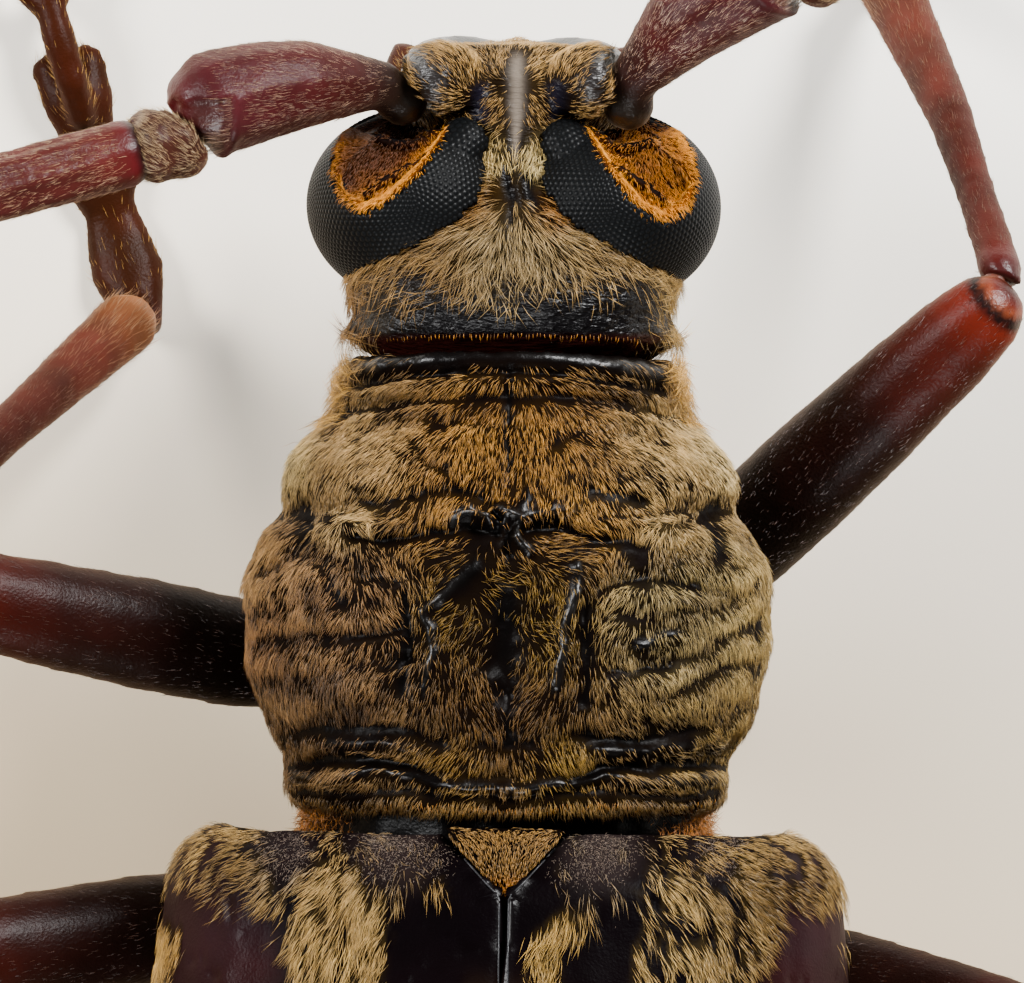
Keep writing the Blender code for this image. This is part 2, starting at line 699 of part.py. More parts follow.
def make_mouthparts():
    """Mandibles and palps, trimmed where they meet the head."""
    for side, word in ((+1, "left"), (-1, "right")):
        face = [head_core(LINK_GAP), rounded(CLYPEUS, 1, LINK_GAP), rounded(LIP, 1, LINK_GAP)]
        face.append(rounded(CHEEK, side, LINK_GAP, 8, 6))
        path = [mirrored(p, side) for p in MANDIBLE]
        sizes = (MANDIBLE_HALF_WIDTHS, MANDIBLE_HALF_WIDTHS, (1, 0, 0), 8, 2)
        jaw = place(f"mandible_{word}", limb_form("mandible", path, *sizes), BEETLE, "dark_shell")
        cut_by(jaw, *face)
        path = [mirrored(p, side) for p in PALP]
        sizes = (PALP_RADII, PALP_RADII, (0, 0, 1), 6, 2)
        palp = place(f"palp_{word}", limb_form("palp", path, *sizes), BEETLE, "red_limb")
        cut_by(palp, head_core(LINK_GAP), rounded(CHEEK, side, LINK_GAP, 8, 6))


def wing_case_surface(side):
    """Half of the domed back as an open sheet, from the seam down to the side margin."""
    behind, widths, tops = np.array(WING_CASES).T
    shape = bmesh.new()
    rows = []
    for y in places_along(behind[0], behind[-1], WING_CASE_STEP, WING_CASE_BENDS):
        half_width, top = (float(smooth_through(behind, v, y)) for v in (widths, tops))
        level = min(WING_CASE_LEVEL, top - WING_CASE_LEAST_RISE)
        margin = WING_CASE_MARGIN + WING_CASE_MARGIN_RISE * (y / behind[-1]) ** 3
        row = [(SUTURE_HALF_GAP, top + SUTURE_RISE)]
        for i in range(1, WING_CASE_ARC_POINTS):
            turn = math.pi / 2 * (1 - i / (WING_CASE_ARC_POINTS - 1))
            x = half_width * math.cos(turn) ** (2 / WING_CASE_POWER)
            z = level + (top - level) * math.sin(turn) ** (2 / WING_CASE_POWER)
            row.append((x, z))
        row += [
            (half_width - WING_CASE_MARGIN_TUCK / 6, (level + margin) / 2),
            (half_width - WING_CASE_MARGIN_TUCK, margin),
        ]
        rows.append([shape.verts.new(Vector((side * x, y, z)) * MM) for x, z in row])
    for first, second in zip(rows, rows[1:]):
        for i in range(len(first) - 1):
            corners = (first[i], first[i + 1], second[i + 1], second[i])
            shape.faces.new(corners if side < 0 else corners[::-1])
    mesh = bpy.data.meshes.new("wing_case")
    bmesh.ops.recalc_face_normals(shape, faces=shape.faces)
    if sum(face.normal.z for face in shape.faces) < 0:
        bmesh.ops.reverse_faces(shape, faces=shape.faces)
    shape.to_mesh(mesh)
    shape.free()
    mesh.shade_smooth()
    return mesh


def scutellum_form(grow=0.0):
    """The small three-cornered plate between the wing case bases, with a rounded point.

    A grown one, which cuts the room for it, grows more in height, so that it cuts right through.
    """
    half_width = SCUTELLUM_HALF_WIDTH + grow
    outline = [(half_width, -grow)]
    for i in range(SCUTELLUM_ARC_POINTS):
        turn = math.pi * i / (SCUTELLUM_ARC_POINTS - 1)
        back = (SCUTELLUM_LENGTH + grow) * math.sin(turn) ** SCUTELLUM_POINTEDNESS
        outline.append((half_width * math.cos(turn), back + 0.02))
    outline.append((-half_width, -grow))
    top = SCUTELLUM_TOP + 3 * grow
    bottom = SCUTELLUM_TOP - SCUTELLUM_THICK - 4 * grow
    lower = [(x, y, bottom) for x, y in outline]
    upper = [(x, y, top - SCUTELLUM_FALL * abs(x)) for x, y in outline]
    poles = [(0, SCUTELLUM_MIDDLE, bottom), (0, SCUTELLUM_MIDDLE, top + SCUTELLUM_FALL)]
    return closed_loft("scutellum", [lower, upper], poles)


def make_back():
    """Both wing cases, the scutellum, the rear thorax and the abdomen."""
    for side, word in ((+1, "left"), (-1, "right")):
        case = place(f"wing_case_{word}", wing_case_surface(side), BEETLE, "wing_case")
        wall = case.modifiers.new("wall", "SOLIDIFY")
        wall.thickness = WING_CASE_WALL * MM
        wall.offset = -1.0
        cut_by(case, scutellum_form(PLATE_GAP))
    place("scutellum", scutellum_form(), BEETLE, "gold_down")
    thorax = place("rear_thorax", underbody_form("thorax", REAR_THORAX), BEETLE, "gold_down")
    cut_by(thorax, scutellum_form(PLATE_GAP))
    abdomen_form = underbody_form("abdomen", ABDOMEN, seams=VENTRITE_SEAMS)
    place("abdomen", abdomen_form, BEETLE, "dark_shell")


def body_cutters(pair):
    """The grown bodies that a coxa or femur of that pair could touch."""
    thorax = underbody_form("thorax", REAR_THORAX, BODY_GAP)
    if pair == "fore":
        return [prothorax_form(BODY_GAP, relief=False)]
    if pair == "mid":
        return [thorax]
    return [thorax, underbody_form("abdomen", ABDOMEN, BODY_GAP)]


def limb_between(name, start, end, form, half_width, half_thick, broad, bow, grow=0.0):
    """A bowed limb of the given form between two points."""
    start, end = Vector(start), Vector(end)
    upper, lower = (start.lerp(end, share) for share in BOW_SHARES)
    path = [start, upper + bow, lower + BOW_LEFT * bow, end]
    marks, wides, thicks = np.array(form).T
    sizes = (wides * half_width, thicks * half_thick)
    return limb_form(name, path, *sizes, broad, LIMB_SIDES, marks=marks, grow=grow)


def hip_pieces(side, pair, hip, grow=0.0):
    """Coxa and trochanter of one leg."""
    trochanter = (hip, (TROCHANTER_RADIUS,) * 3)
    return [rounded(COXAE[pair], side, grow, 10, 6), rounded(trochanter, side, grow, 8, 5)]


def foot_link(start, end, half_start, half_end, height, foot_start, foot_run):
    """One flat-soled foot link between two shares of the foot's run; the first rises to the ankle."""
    a, b = foot_start + foot_run * start, foot_start + foot_run * end
    lift = Vector((0, 0, 0.30 * height - SOLE_DROP))
    middle = a.lerp(b, 0.55) + Vector((0, 0, 0.05))
    ankle_rise = Vector((0, 0, ANKLE_RISE if start < 0 else 0))
    path = [a + lift + ankle_rise, middle + lift, b + lift * 0.9]
    widths = (0.9 * half_start, half_end, 0.72 * half_end)
    thicks = (0.36 * height, 0.48 * height, 0.28 * height)
    broad = Vector((-foot_run.y, foot_run.x, 0))
    return limb_form("link", path, widths, thicks, broad, FOOT_SIDES)


def make_foot(side, pair, ankle, claws_end):
    """The tarsus: two wedge links, a lobed third, a slender claw link and two claws."""
    word = "left" if side > 0 else "right"
    ankle = mirrored(ankle, side)
    start = Vector((ankle.x, ankle.y, 0))
    end = Vector((claws_end[0] * side, claws_end[1], 0))
    run = end - start
    across = Vector((-run.y, run.x, 0)).normalized()
    pieces = [foot_link(*link, start, run) for link in FOOT_LINKS]
    first, last, half_start, half_end, height = LOBED_LINK
    for lobe in (+1, -1):
        spread = across * LOBE_SPREAD * lobe
        lobe_run = run + spread / (last - first) * 0.8
        lobe_start = start + run * first - lobe_run * first + spread * 0.15
        pieces.append(foot_link(first, last, half_start, half_end, height, lobe_start, lobe_run))
    a, b = (start + run * share for share in CLAW_LINK)
    path = [p + Vector((0, 0, up)) for p, up in zip((a, a.lerp(b, 0.5), b), CLAW_LINK_HEIGHTS)]
    slim = (CLAW_LINK_HALF_WIDTHS, CLAW_LINK_HALF_WIDTHS)
    pieces.append(limb_form("claw_link", path, *slim, across, 6))
    forward = run.normalized()
    for lobe in (+1, -1):
        path = [b + forward * on + across * out * lobe + Vector((0, 0, up)) for on, out, up in CLAW_PATH]
        pieces.append(limb_form("claw", path, CLAW_RADII, CLAW_RADII, across, 5))
    return joined(f"{pair}_foot_{word}", pieces, "red_limb")


def floor_block():
    """A block whose top is the floor; it trims the soles flat."""
    shape = bmesh.new()
    bmesh.ops.create_cube(shape, size=1.0)
    bmesh.ops.scale(shape, vec=Vector(FLOOR_BLOCK) * MM, verts=shape.verts)
    bmesh.ops.translate(shape, vec=Vector((0, 0, -FLOOR_BLOCK[2] / 2)) * MM, verts=shape.verts)
    mesh = bpy.data.meshes.new("floor_block")
    shape.to_mesh(mesh)
    shape.free()
    return mesh


def make_leg(side, pair, hip, knee, ankle, claws_end):
    """Coxa with trochanter, femur, tibia and foot."""
    word = "left" if side > 0 else "right"
    hip_node = joined(f"{pair}_coxa_{word}", hip_pieces(side, pair, hip), "dark_shell")
    cut_by(hip_node, *body_cutters(pair))

    hip_at, knee_at, ankle_at = (mirrored(p, side) for p in (hip, knee, ankle))
    thigh = knee_at - hip_at
    thigh_across = Vector((-thigh.y, thigh.x, 0)).normalized()
    femur_form = (FEMUR_FORM, FEMUR_HALF_WIDTH, FEMUR_HALF_THICK, thigh_across)
    thigh_bow = Vector((0, 0, FEMUR_BOW))
    shape = limb_between("femur", hip_at, knee_at, *femur_form, thigh_bow)
    femur = place(f"{pair}_femur_{word}", shape, BEETLE, "red_limb")
    cut_by(femur, *hip_pieces(side, pair, hip, LINK_GAP), *body_cutters(pair))

    shin = ankle_at - knee_at
    shin_across = Vector((-shin.y, shin.x, 0)).normalized()
    tibia_form = (TIBIA_FORM, TIBIA_HALF_WIDTH, TIBIA_HALF_THICK, shin_across)
    shin_bow = Vector((thigh.x, thigh.y, 0)).normalized() * TIBIA_SWING + Vector((0, 0, TIBIA_BOW))
    shape = limb_between("tibia", knee_at, ankle_at, *tibia_form, shin_bow)
    tibia = place(f"{pair}_tibia_{word}", shape, BEETLE, "red_limb")
    cut_by(tibia, limb_between("femur", hip_at, knee_at, *femur_form, thigh_bow, grow=LINK_GAP))

    foot = make_foot(side, pair, ankle, claws_end)
    grown_tibia = limb_between("tibia", knee_at, ankle_at, *tibia_form, shin_bow, grow=LINK_GAP)
    cut_by(foot, grown_tibia, floor_block())


def feeler_way(side, heading, climb):
    """Unit direction from a heading forward of straight out to the side, and a climb."""
    turn, rise = math.radians(heading), math.radians(climb)
    return Vector(
        (side * math.cos(turn) * math.cos(rise), -math.sin(turn) * math.cos(rise), math.sin(rise))
    )


def feeler_link(start, way, sizes, grow=0.0):
    """A link that swells to its tip; the scape also has a bent neck."""
    name, length, at_base, at_middle, at_tip = sizes
    forward = Vector((0, 0, 1)).cross(way).normalized()
    if forward.y > 0:
        forward = -forward
    path = [start, start + way * length * 0.5, start + way * length]
    if name == "scape":
        path = [
            start + way * length * share + forward * off + Vector((0, 0, up))
            for share, off, up in SCAPE_PATH
        ]
    tip_shares = LAST_LINK_TIP_SHARES if name == "link11" else FEELER_TIP_SHARES
    widths = [share * at_base for share in FEELER_BASE_SHARES]
    widths += [at_middle, *(share * at_tip for share in tip_shares)]
    thicks = np.array(widths) * (1.0 if name in ("scape", "pedicel") else FEELER_FLATTEN)
    marks = FEELER_MARKS.get(name, FEELER_MARKS["other"])
    return limb_form(name, path, widths, thicks, forward, FEELER_SIDES, marks=marks, grow=grow)


def make_feeler(side):
    """Eleven links, each with its base cupped round the tip of the one before."""
    word = "left" if side > 0 else "right"
    start = mirrored(SOCKET_CENTRE, side)
    before = None
    for sizes, heading, climb in zip(FEELER_LINKS, FEELER_HEADINGS[side], FEELER_CLIMBS):
        name, length = sizes[0], sizes[1]
        way = feeler_way(side, heading, climb)
        shape = feeler_link(start, way, sizes)
        node_name = f"feeler_{name}_{word}"
        if name == "scape":
            condyle = ball("condyle", start, (SCAPE_BALL_RADIUS,) * 3, 10, 7)
            joined(node_name, [shape, condyle], "red_limb")
        else:
            cut_by(place(node_name, shape, BEETLE, "red_limb"), before)
        before = feeler_link(start, way, sizes, grow=LINK_GAP)
        start = start + way * (length - FEELER_LINK_OVERLAP)
        if name == "scape":
            back_along, back_across = PEDICEL_SEAT
            backward = Vector((0, 0, 1)).cross(way).normalized()
            if backward.y < 0:
                backward = -backward
            start = start - way * back_along + backward * back_across


def stand_on_origin():
    """Moves the nodes so that the middle of their box is over the origin, with the floor at zero."""
    nodes = list(BEETLE.objects)
    corners = np.array([v.co for obj in nodes for v in obj.data.vertices])
    low, high = corners.min(axis=0), corners.max(axis=0)
    shift = Matrix.Translation((-(low[0] + high[0]) / 2, -(low[1] + high[1]) / 2, -low[2]))
    for obj in nodes:
        obj.data.transform(shift)


clear_scene()
BEETLE = new_collection("longhorn_beetle")
CUTTERS = new_collection("cutters")
make_prothorax()
make_head()
make_eyes()
make_mouthparts()
make_back()
for leg in LEGS:
    make_leg(*leg)
for feeler_side in (+1, -1):
    make_feeler(feeler_side)
stand_on_origin()
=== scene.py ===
"""The looks of a longhorn beetle: fine skins, faceted eyes and a coat of short hair on its solids.

Shapes are worked out in millimetres, measured from the floor under the joint of prothorax and wing
cases, with the head towards -Y and the beetle's left at +X. At the end each piece is put where the
solids are.
"""

import itertools
import math
from collections import namedtuple

import bmesh
import bpy
import numpy as np
from mathutils import Matrix, Vector
from mathutils.bvhtree import BVHTree
from mathutils.kdtree import KDTree


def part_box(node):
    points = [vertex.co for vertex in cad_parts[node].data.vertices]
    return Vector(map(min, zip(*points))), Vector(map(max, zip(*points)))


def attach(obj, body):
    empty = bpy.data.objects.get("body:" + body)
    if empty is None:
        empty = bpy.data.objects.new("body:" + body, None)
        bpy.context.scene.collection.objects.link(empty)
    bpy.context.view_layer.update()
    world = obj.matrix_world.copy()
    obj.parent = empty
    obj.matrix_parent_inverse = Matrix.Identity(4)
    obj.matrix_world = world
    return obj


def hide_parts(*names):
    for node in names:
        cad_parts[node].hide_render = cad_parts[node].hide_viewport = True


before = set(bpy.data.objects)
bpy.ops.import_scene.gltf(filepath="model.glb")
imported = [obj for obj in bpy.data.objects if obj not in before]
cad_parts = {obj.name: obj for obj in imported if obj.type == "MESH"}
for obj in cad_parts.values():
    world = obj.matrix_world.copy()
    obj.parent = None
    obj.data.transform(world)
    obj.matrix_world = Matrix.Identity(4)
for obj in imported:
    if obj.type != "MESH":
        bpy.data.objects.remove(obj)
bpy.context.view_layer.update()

MM = 0.001
SIDES = ((+1, "left"), (-1, "right"))

# The camera looks straight down on the back. A pixel of the photograph is 0.016 mm there.
CAMERA_PLACE = (-0.037, -5.416, 192.0)
CAMERA_ROLL = 0.8
CAMERA_LENS = 395.5
CAMERA_SENSOR = 36.0
ROOM_LIGHT = 0.09
PHOTO_WIDTH = 1024.0
PHOTO_MIDDLE = (512.0, 491.5)


# Frame and measuring


def body_origin():
    """The floor point under the joint of prothorax and wing cases, in metres."""
    left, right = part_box("wing_case_left"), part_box("wing_case_right")
    return Vector(((left[1].x + right[0].x) / 2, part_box("scutellum")[0].y, 0.0))


ORIGIN = body_origin()
FROM_BODY = Matrix.Translation(ORIGIN) @ Matrix.Scale(MM, 4)
TO_BODY = FROM_BODY.inverted()


def camera_ways():
    """The camera's right and up, as it lies over the beetle."""
    roll = math.radians(CAMERA_ROLL)
    up = Vector((math.sin(roll), -math.cos(roll), 0.0))
    return up.cross(Vector((0, 0, 1))), up


def photo_xy(points):
    """Where points of the beetle fall in the photograph, in its pixels."""
    away = np.asarray(points, float) - CAMERA_PLACE
    right, up = (np.array(way) for way in camera_ways())
    scale = CAMERA_LENS / CAMERA_SENSOR * PHOTO_WIDTH / -away[:, 2]
    return np.column_stack(
        [PHOTO_MIDDLE[0] + away @ right * scale, PHOTO_MIDDLE[1] - away @ up * scale]
    )


# Large odd numbers that scatter the noise's lattice.
LATTICE_NUMBERS = (73856093, 19349663, 50331653)
SEED_NUMBER, SCATTER_NUMBER = 83492791, 1274126177


def noise(points, size, seed):
    """Smooth noise from -1 to 1, with lumps of about the given size."""
    points = np.asarray(points, float) / size
    cells = np.floor(points)
    within = points - cells
    within = within * within * (3 - 2 * within)
    total = np.zeros(len(points))
    for corner in itertools.product((0, 1), repeat=points.shape[1]):
        lattice = (cells + corner).astype(np.int64)
        hashed = np.int64(seed * SEED_NUMBER)
        for along, number in zip(lattice.T, LATTICE_NUMBERS):
            hashed = hashed ^ along * number
        hashed = (hashed ^ (hashed >> 13)) * SCATTER_NUMBER
        value = ((hashed ^ (hashed >> 16)) & 0xFFFF) / 32767.5 - 1
        share = np.where(corner, within, 1 - within)
        total += value * share.prod(axis=1)
    return total


# Noise by what it shapes: how strong it is, the size of its lumps in mm, its seed, and how it is
# drawn out. The first four are in the photograph's pixels.
LUMPS = {
    "wobble_across": (3.0, 18, 3),
    "wobble_along": (3.0, 18, 4),
    "rough_marks": (0.30, 17, 5),
    "occiput_edge": (22, 30, 33),
    "fold_warp": (2.6, 1.3, 13),
    "fold_quiver": (1.7, 0.6, 17),
    "fold_patches": (0.5, 0.9, 15),
    "pronotum_skin": (0.030, 0.34, 11),
    "pronotum_grain": (0.012, 0.15, 12),
    "pronotum_ridges": (0.018, 0.11, 16),
    "pronotum_ground": (0.4, 0.5, 14),
    "pronotum_gaps": (0.66, 0.24, 21),
    "pronotum_tones": (0.26, 0.6, 23),
    "pronotum_turns": (1.0, 0.45, 22),
    "head_wrinkles": (0.012, 0.12, 31, (0.4, 1.0, 0.6)),
    "head_skin": (0.014, 0.22, 32),
    "head_gaps": (0.5, 0.25, 34),
    "head_tones": (0.20, 0.5, 36),
    "head_turns": (0.35, 0.4, 35),
    "hollow_tones": (0.18, 0.3, 41),
    "wing_skin": (0.012, 0.35, 51),
    "wing_waves": (0.045, 1.6, 52, (1, 0.5, 1)),
    "wing_pits": (1.0, 0.22, 53),
    "wing_ground": (1.0, 2.0, 56),
    "wing_silk": (1.0, 1.5, 54, (1, 0.55, 1)),
    "wing_silk_edge": (0.4, 0.5, 55),
    "wing_tufts": (0.42, 0.36, 60, (1.3, 0.45, 1)),
    "wing_gaps": (1.0, 0.15, 57, (1.4, 0.4, 1)),
    "wing_tones": (0.28, 0.5, 61),
    "wing_swirl": (1.1, 1.7, 58, (1, 0.55, 1)),
    "wing_turns": (0.45, 0.24, 59),
    "wing_stubble": (0.5, 0.25, 62),
    "belly_skin": (0.02, 0.4, 61),
    "belly_ground": (0.5, 1.5, 62),
    "belly_gaps": (0.4, 0.8, 63),
    "limb_skin": (0.010, 0.12, 71),
    "limb_ground": (0.35, 0.5, 72),
    "limb_gaps": (0.5, 0.3, 73),
    "soft_ring": (1.0, 0.55, 81, (1, 0.6, 1)),
}


def lumps(points, name):
    """One kind of noise over the beetle."""
    strength, size, seed, *drawn = LUMPS[name]
    return strength * noise(points * drawn[0] if drawn else points, size, seed)


def near_line(places, points, reach):
    """How near places are to a line through points: 1 on it, fading over the reach."""
    best = np.full(len(places), np.inf)
    for a, b in zip(points, points[1:]):
        a, run = np.array(a, float), np.subtract(b, a).astype(float)
        along = np.clip((places - a) @ run / (run @ run), 0, 1)
        best = np.minimum(best, np.linalg.norm(places - a - along[:, None] * run, axis=1))
    return np.exp(-((best / reach) ** 2))


def step(values, start, end):
    """0 below the start, 1 past the end, smooth between."""
    share = np.clip((np.asarray(values, float) - start) / (end - start), 0, 1)
    return share * share * (3 - 2 * share)


def blended(places, rows, base, base_weight=0.12):
    """The base values, drawn towards each row's values near its place; a row is x, y, reach, values."""
    base = np.asarray(base, float)
    total = base * base_weight if base.ndim > 1 else np.tile(base * base_weight, (len(places), 1))
    weight = np.full(len(places), base_weight)
    for x, y, reach, *values in rows:
        near = np.exp(-(((places - (x, y)) / reach) ** 2).sum(axis=1))
        total = total + near[:, None] * np.array(values, float)
        weight += near
    return total / weight[:, None]


def unit(vectors):
    return vectors / np.maximum(np.linalg.norm(vectors, axis=1), 1e-9)[:, None]


# Colours and materials


def colour(code):
    """A linear colour from its sRGB hex code."""
    parts = [int(code[i : i + 2], 16) / 255 for i in (0, 2, 4)]
    return tuple(p / 12.92 if p <= 0.04045 else ((p + 0.055) / 1.055) ** 2.4 for p in parts)


def mixed(first, second, share):
    """From the first colour to the second, point by point."""
    share = np.asarray(share, float)[:, None]
    return np.asarray(first, float) * (1 - share) + np.asarray(second, float) * share


def node(tree, kind, inputs=(), **settings):
    """Adds one node with its settings; an input is a value or the socket that feeds it."""
    made = tree.nodes.new(kind)
    for key, value in settings.items():
        setattr(made, key, value)
    for key, value in dict(inputs).items():
        if isinstance(value, bpy.types.NodeSocket):
            tree.links.new(value, made.inputs[key])
        else:
            made.inputs[key].default_value = value
    return made


def new_material(name):
    """An empty material with its shader."""
    material = bpy.data.materials.new(name)
    material.use_nodes = True
    return material, material.node_tree, material.node_tree.nodes["Principled BSDF"]


def set_shader(tree, shader, **inputs):
    for key, value in inputs.items():
        key = key.replace("_", " ")
        if isinstance(value, bpy.types.NodeSocket):
            tree.links.new(value, shader.inputs[key])
        else:
            shader.inputs[key].default_value = value


def cuticle(name, polished, grain, depth, stretch=(1.0, 1.0, 1.0), bloom=0.0):
    """Sclerotised chitin, hardened and tanned: dark, finely shagreened, and glassy where bare.

    The colour is the skin's, and in places holds painted sheen, reflection, highlight and shade. Polish
    is how much of the glassy outer layer it has: none under the hair, all of it on bare ridges. The
    grain is the distance between the fine granules and the depth is how high they stand, in millimetres;
    the stretch draws them out into wrinkles. The bloom is the pale dust of down too short to see.
    """
    material, tree, shader = new_material(name)
    ground = node(tree, "ShaderNodeAttribute", attribute_name="ground")
    polish = node(tree, "ShaderNodeAttribute", attribute_name="polish")
    where = node(tree, "ShaderNodeTexCoord")
    drawn = node(
        tree,
        "ShaderNodeVectorMath",
        {0: where.outputs["Object"], 1: stretch},
        operation="MULTIPLY",
    )
    fine = node(
        tree,
        "ShaderNodeTexNoise",
        {"Vector": drawn.outputs["Vector"], "Scale": 1 / (grain * MM), "Detail": 3.0},
    )
    cloud = node(
        tree,
        "ShaderNodeTexNoise",
        {"Vector": where.outputs["Object"], "Scale": 1 / (12 * grain * MM), "Detail": 2.0},
    )
    shade = node(tree, "ShaderNodeMapRange", {"Value": cloud.outputs["Fac"], "To Min": 0.7, "To Max": 1.3})
    tinted = node(
        tree,
        "ShaderNodeVectorMath",
        {0: ground.outputs["Color"], "Scale": shade.outputs["Result"]},
        operation="SCALE",
    )
    bump = node(
        tree,
        "ShaderNodeBump",
        {"Height": fine.outputs["Fac"], "Distance": depth * MM, "Strength": 1.0},
    )
    set_shader(
        tree,
        shader,
        Base_Color=tinted.outputs["Vector"],
        Roughness=0.55,
        Normal=bump.outputs["Normal"],
        IOR=1.06,
        Coat_Normal=bump.outputs["Normal"],
        Coat_Weight=polish.outputs["Fac"],
        Coat_Roughness=polished,
        Coat_IOR=1.5,
        Sheen_Weight=bloom,
        Sheen_Roughness=0.4,
        Sheen_Tint=(*colour("f0c8a0"), 1),
    )
    return material


def hair_finish():
    """Fine setae, drawn-out chitin: a silky gloss along each hair, paler towards its tip, the darker root
    being painted shade.
    """
    material, tree, shader = new_material("golden_setae")
    coat = node(tree, "ShaderNodeAttribute", attribute_name="coat")
    set_shader(tree, shader, Base_Color=coat.outputs["Color"], Roughness=0.42, IOR=1.5)
    return material


def lens_finish():
    """Corneal lenses over dark pigment: black glass with a cold grey gloss, duller in the seams."""
    material, tree, shader = new_material("corneal_lens")
    ground = node(tree, "ShaderNodeAttribute", attribute_name="ground")
    polish = node(tree, "ShaderNodeAttribute", attribute_name="polish")
    gloss = node(
        tree, "ShaderNodeMapRange", {"Value": polish.outputs["Fac"], "To Min": 0.60, "To Max": 0.32}
    )
    set_shader(
        tree,
        shader,
        Base_Color=ground.outputs["Color"],
        Roughness=gloss.outputs["Result"],
        IOR=1.15,
    )
    return material


def membrane_finish():
    """Arthrodial membrane, unhardened cuticle: waxy, amber, a little light comes through."""
    material, tree, shader = new_material("joint_membrane")
    where = node(tree, "ShaderNodeTexCoord")
    folds = node(
        tree,
        "ShaderNodeTexNoise",
        {"Vector": where.outputs["Object"], "Scale": 1 / (0.15 * MM), "Detail": 2.0},
    )
    tint = node(
        tree,
        "ShaderNodeMix",
        {0: folds.outputs["Fac"], 6: (*colour("2c0e06"), 1), 7: (*colour("6a2c12"), 1)},
        data_type="RGBA",
    )
    bump = node(tree, "ShaderNodeBump", {"Height": folds.outputs["Fac"], "Distance": 0.02 * MM})
    set_shader(
        tree,
        shader,
        Base_Color=tint.outputs[2],
        Roughness=0.42,
        Normal=bump.outputs["Normal"],
        Subsurface_Weight=0.15,
        Subsurface_Scale=0.3 * MM,
        IOR=1.5,
    )
    return material


# In mm along the floor: where it warms and darkens with painted shade, and where it glows; how it leans,
# and the size of its clouds.
FLOOR_SHADED_WARM, FLOOR_GLOWS = (-30, 4), (-18, -6)
FLOOR_LEAN, FLOOR_CLOUDS, FLOOR_GLOW = 0.35, 9, 0.55


def floor_finish():
    """Matt paper, uncoated and pressed, over a light: white before the head, where it glows most.

    It warms and darkens to buff towards the tail and the left, painted shade, and is faintly uneven.
    """
    material, tree, shader = new_material("pale_card")
    where = node(tree, "ShaderNodeTexCoord")
    apart = node(tree, "ShaderNodeSeparateXYZ", {"Vector": where.outputs["Object"]})
    leaning = node(
        tree,
        "ShaderNodeMath",
        {0: apart.outputs["X"], 1: FLOOR_LEAN, 2: apart.outputs["Y"]},
        operation="MULTIPLY_ADD",
    )
    # Painted shade: the card is mixed from white towards darker buff towards the tail and the left.
    warm_shade = node(
        tree,
        "ShaderNodeMapRange",
        {
            "Value": leaning.outputs["Value"],
            "From Min": FLOOR_SHADED_WARM[0] * MM,
            "From Max": FLOOR_SHADED_WARM[1] * MM,
        },
        interpolation_type="SMOOTHSTEP",
    )
    glow = node(
        tree,
        "ShaderNodeMapRange",
        {
            "Value": apart.outputs["Y"],
            "From Min": FLOOR_GLOWS[0] * MM,
            "From Max": FLOOR_GLOWS[1] * MM,
            "To Min": FLOOR_GLOW,
            "To Max": 0.0,
        },
        interpolation_type="SMOOTHSTEP",
    )
    cloud = node(
        tree,
        "ShaderNodeTexNoise",
        {"Vector": where.outputs["Object"], "Scale": 1 / (FLOOR_CLOUDS * MM), "Detail": 3.0},
    )
    uneven = node(
        tree, "ShaderNodeMapRange", {"Value": cloud.outputs["Fac"], "To Min": 0.96, "To Max": 1.04}
    )
    tint = node(
        tree,
        "ShaderNodeMix",
        {0: warm_shade.outputs["Result"], 6: (*colour("fffdf6"), 1), 7: (*colour("cdb48e"), 1)},
        data_type="RGBA",
    )
    shaded = node(
        tree,
        "ShaderNodeVectorMath",
        {0: tint.outputs[2], "Scale": uneven.outputs["Result"]},
        operation="SCALE",
    )
    set_shader(
        tree,
        shader,
        Base_Color=shaded.outputs["Vector"],
        Roughness=0.85,
        Emission_Color=(*colour("fffdf6"), 1),
        Emission_Strength=glow.outputs["Result"],
    )
    return material


SHELL = cuticle("sclerotised_shell", polished=0.30, grain=0.05, depth=0.008)
HEAD_SHELL = cuticle(
    "wrinkled_head_shell", polished=0.29, grain=0.095, depth=0.060, stretch=(0.32, 1.25, 1.25)
)
LIMB_SHELL = cuticle("tanned_limb_shell", polished=0.34, grain=0.05, depth=0.010, bloom=0.13)
SETAE = hair_finish()
LENS = lens_finish()
MEMBRANE = membrane_finish()


# Skins

# The grid of each skin in mm, and its rounds of smoothing.
GRIDS = {
    "pronotum": (0.108, 8),
    "head": (0.088, 8),
    "eye": (0.07, 6),
    "wing_case": (0.16, 8),
    "scutellum": (0.05, 5),
    "rear_thorax": (0.22, 5),
    "abdomen": (0.24, 5),
    "mandible": (0.06, 6),
    "soft_ring": (0.16, 3),
}


def select_only(obj):
    bpy.ops.object.select_all(action="DESELECT")
    obj.select_set(True)
    bpy.context.view_layer.objects.active = obj


def apply_modifier(obj, kind, **settings):
    """Puts one modifier on the piece and applies it."""
    modifier = obj.modifiers.new(kind.lower(), kind)
    for key, value in settings.items():
        setattr(modifier, key, value)
    select_only(obj)
    bpy.ops.object.modifier_apply(modifier=modifier.name)


def copy_of(name, nodes):
    """One mesh from copies of solids, in body millimetres, with its doubled corners merged."""
    shape = bmesh.new()
    for each in nodes:
        shape.from_mesh(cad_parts[each].data)
    bmesh.ops.remove_doubles(shape, verts=shape.verts, dist=0.001 * MM)
    bmesh.ops.transform(shape, matrix=TO_BODY, verts=shape.verts)
    mesh = bpy.data.meshes.new(name)
    shape.to_mesh(mesh)
    shape.free()
    obj = bpy.data.objects.new(name, mesh)
    bpy.context.scene.collection.objects.link(obj)
    return obj


def corners_of(mesh):
    found = np.empty(len(mesh.vertices) * 3, np.float32)
    mesh.vertices.foreach_get("co", found)
    return found.reshape(-1, 3).astype(float)


def normals_of(mesh):
    found = np.empty(len(mesh.vertices) * 3, np.float32)
    mesh.vertex_normals.foreach_get("vector", found)
    return found.reshape(-1, 3).astype(float)


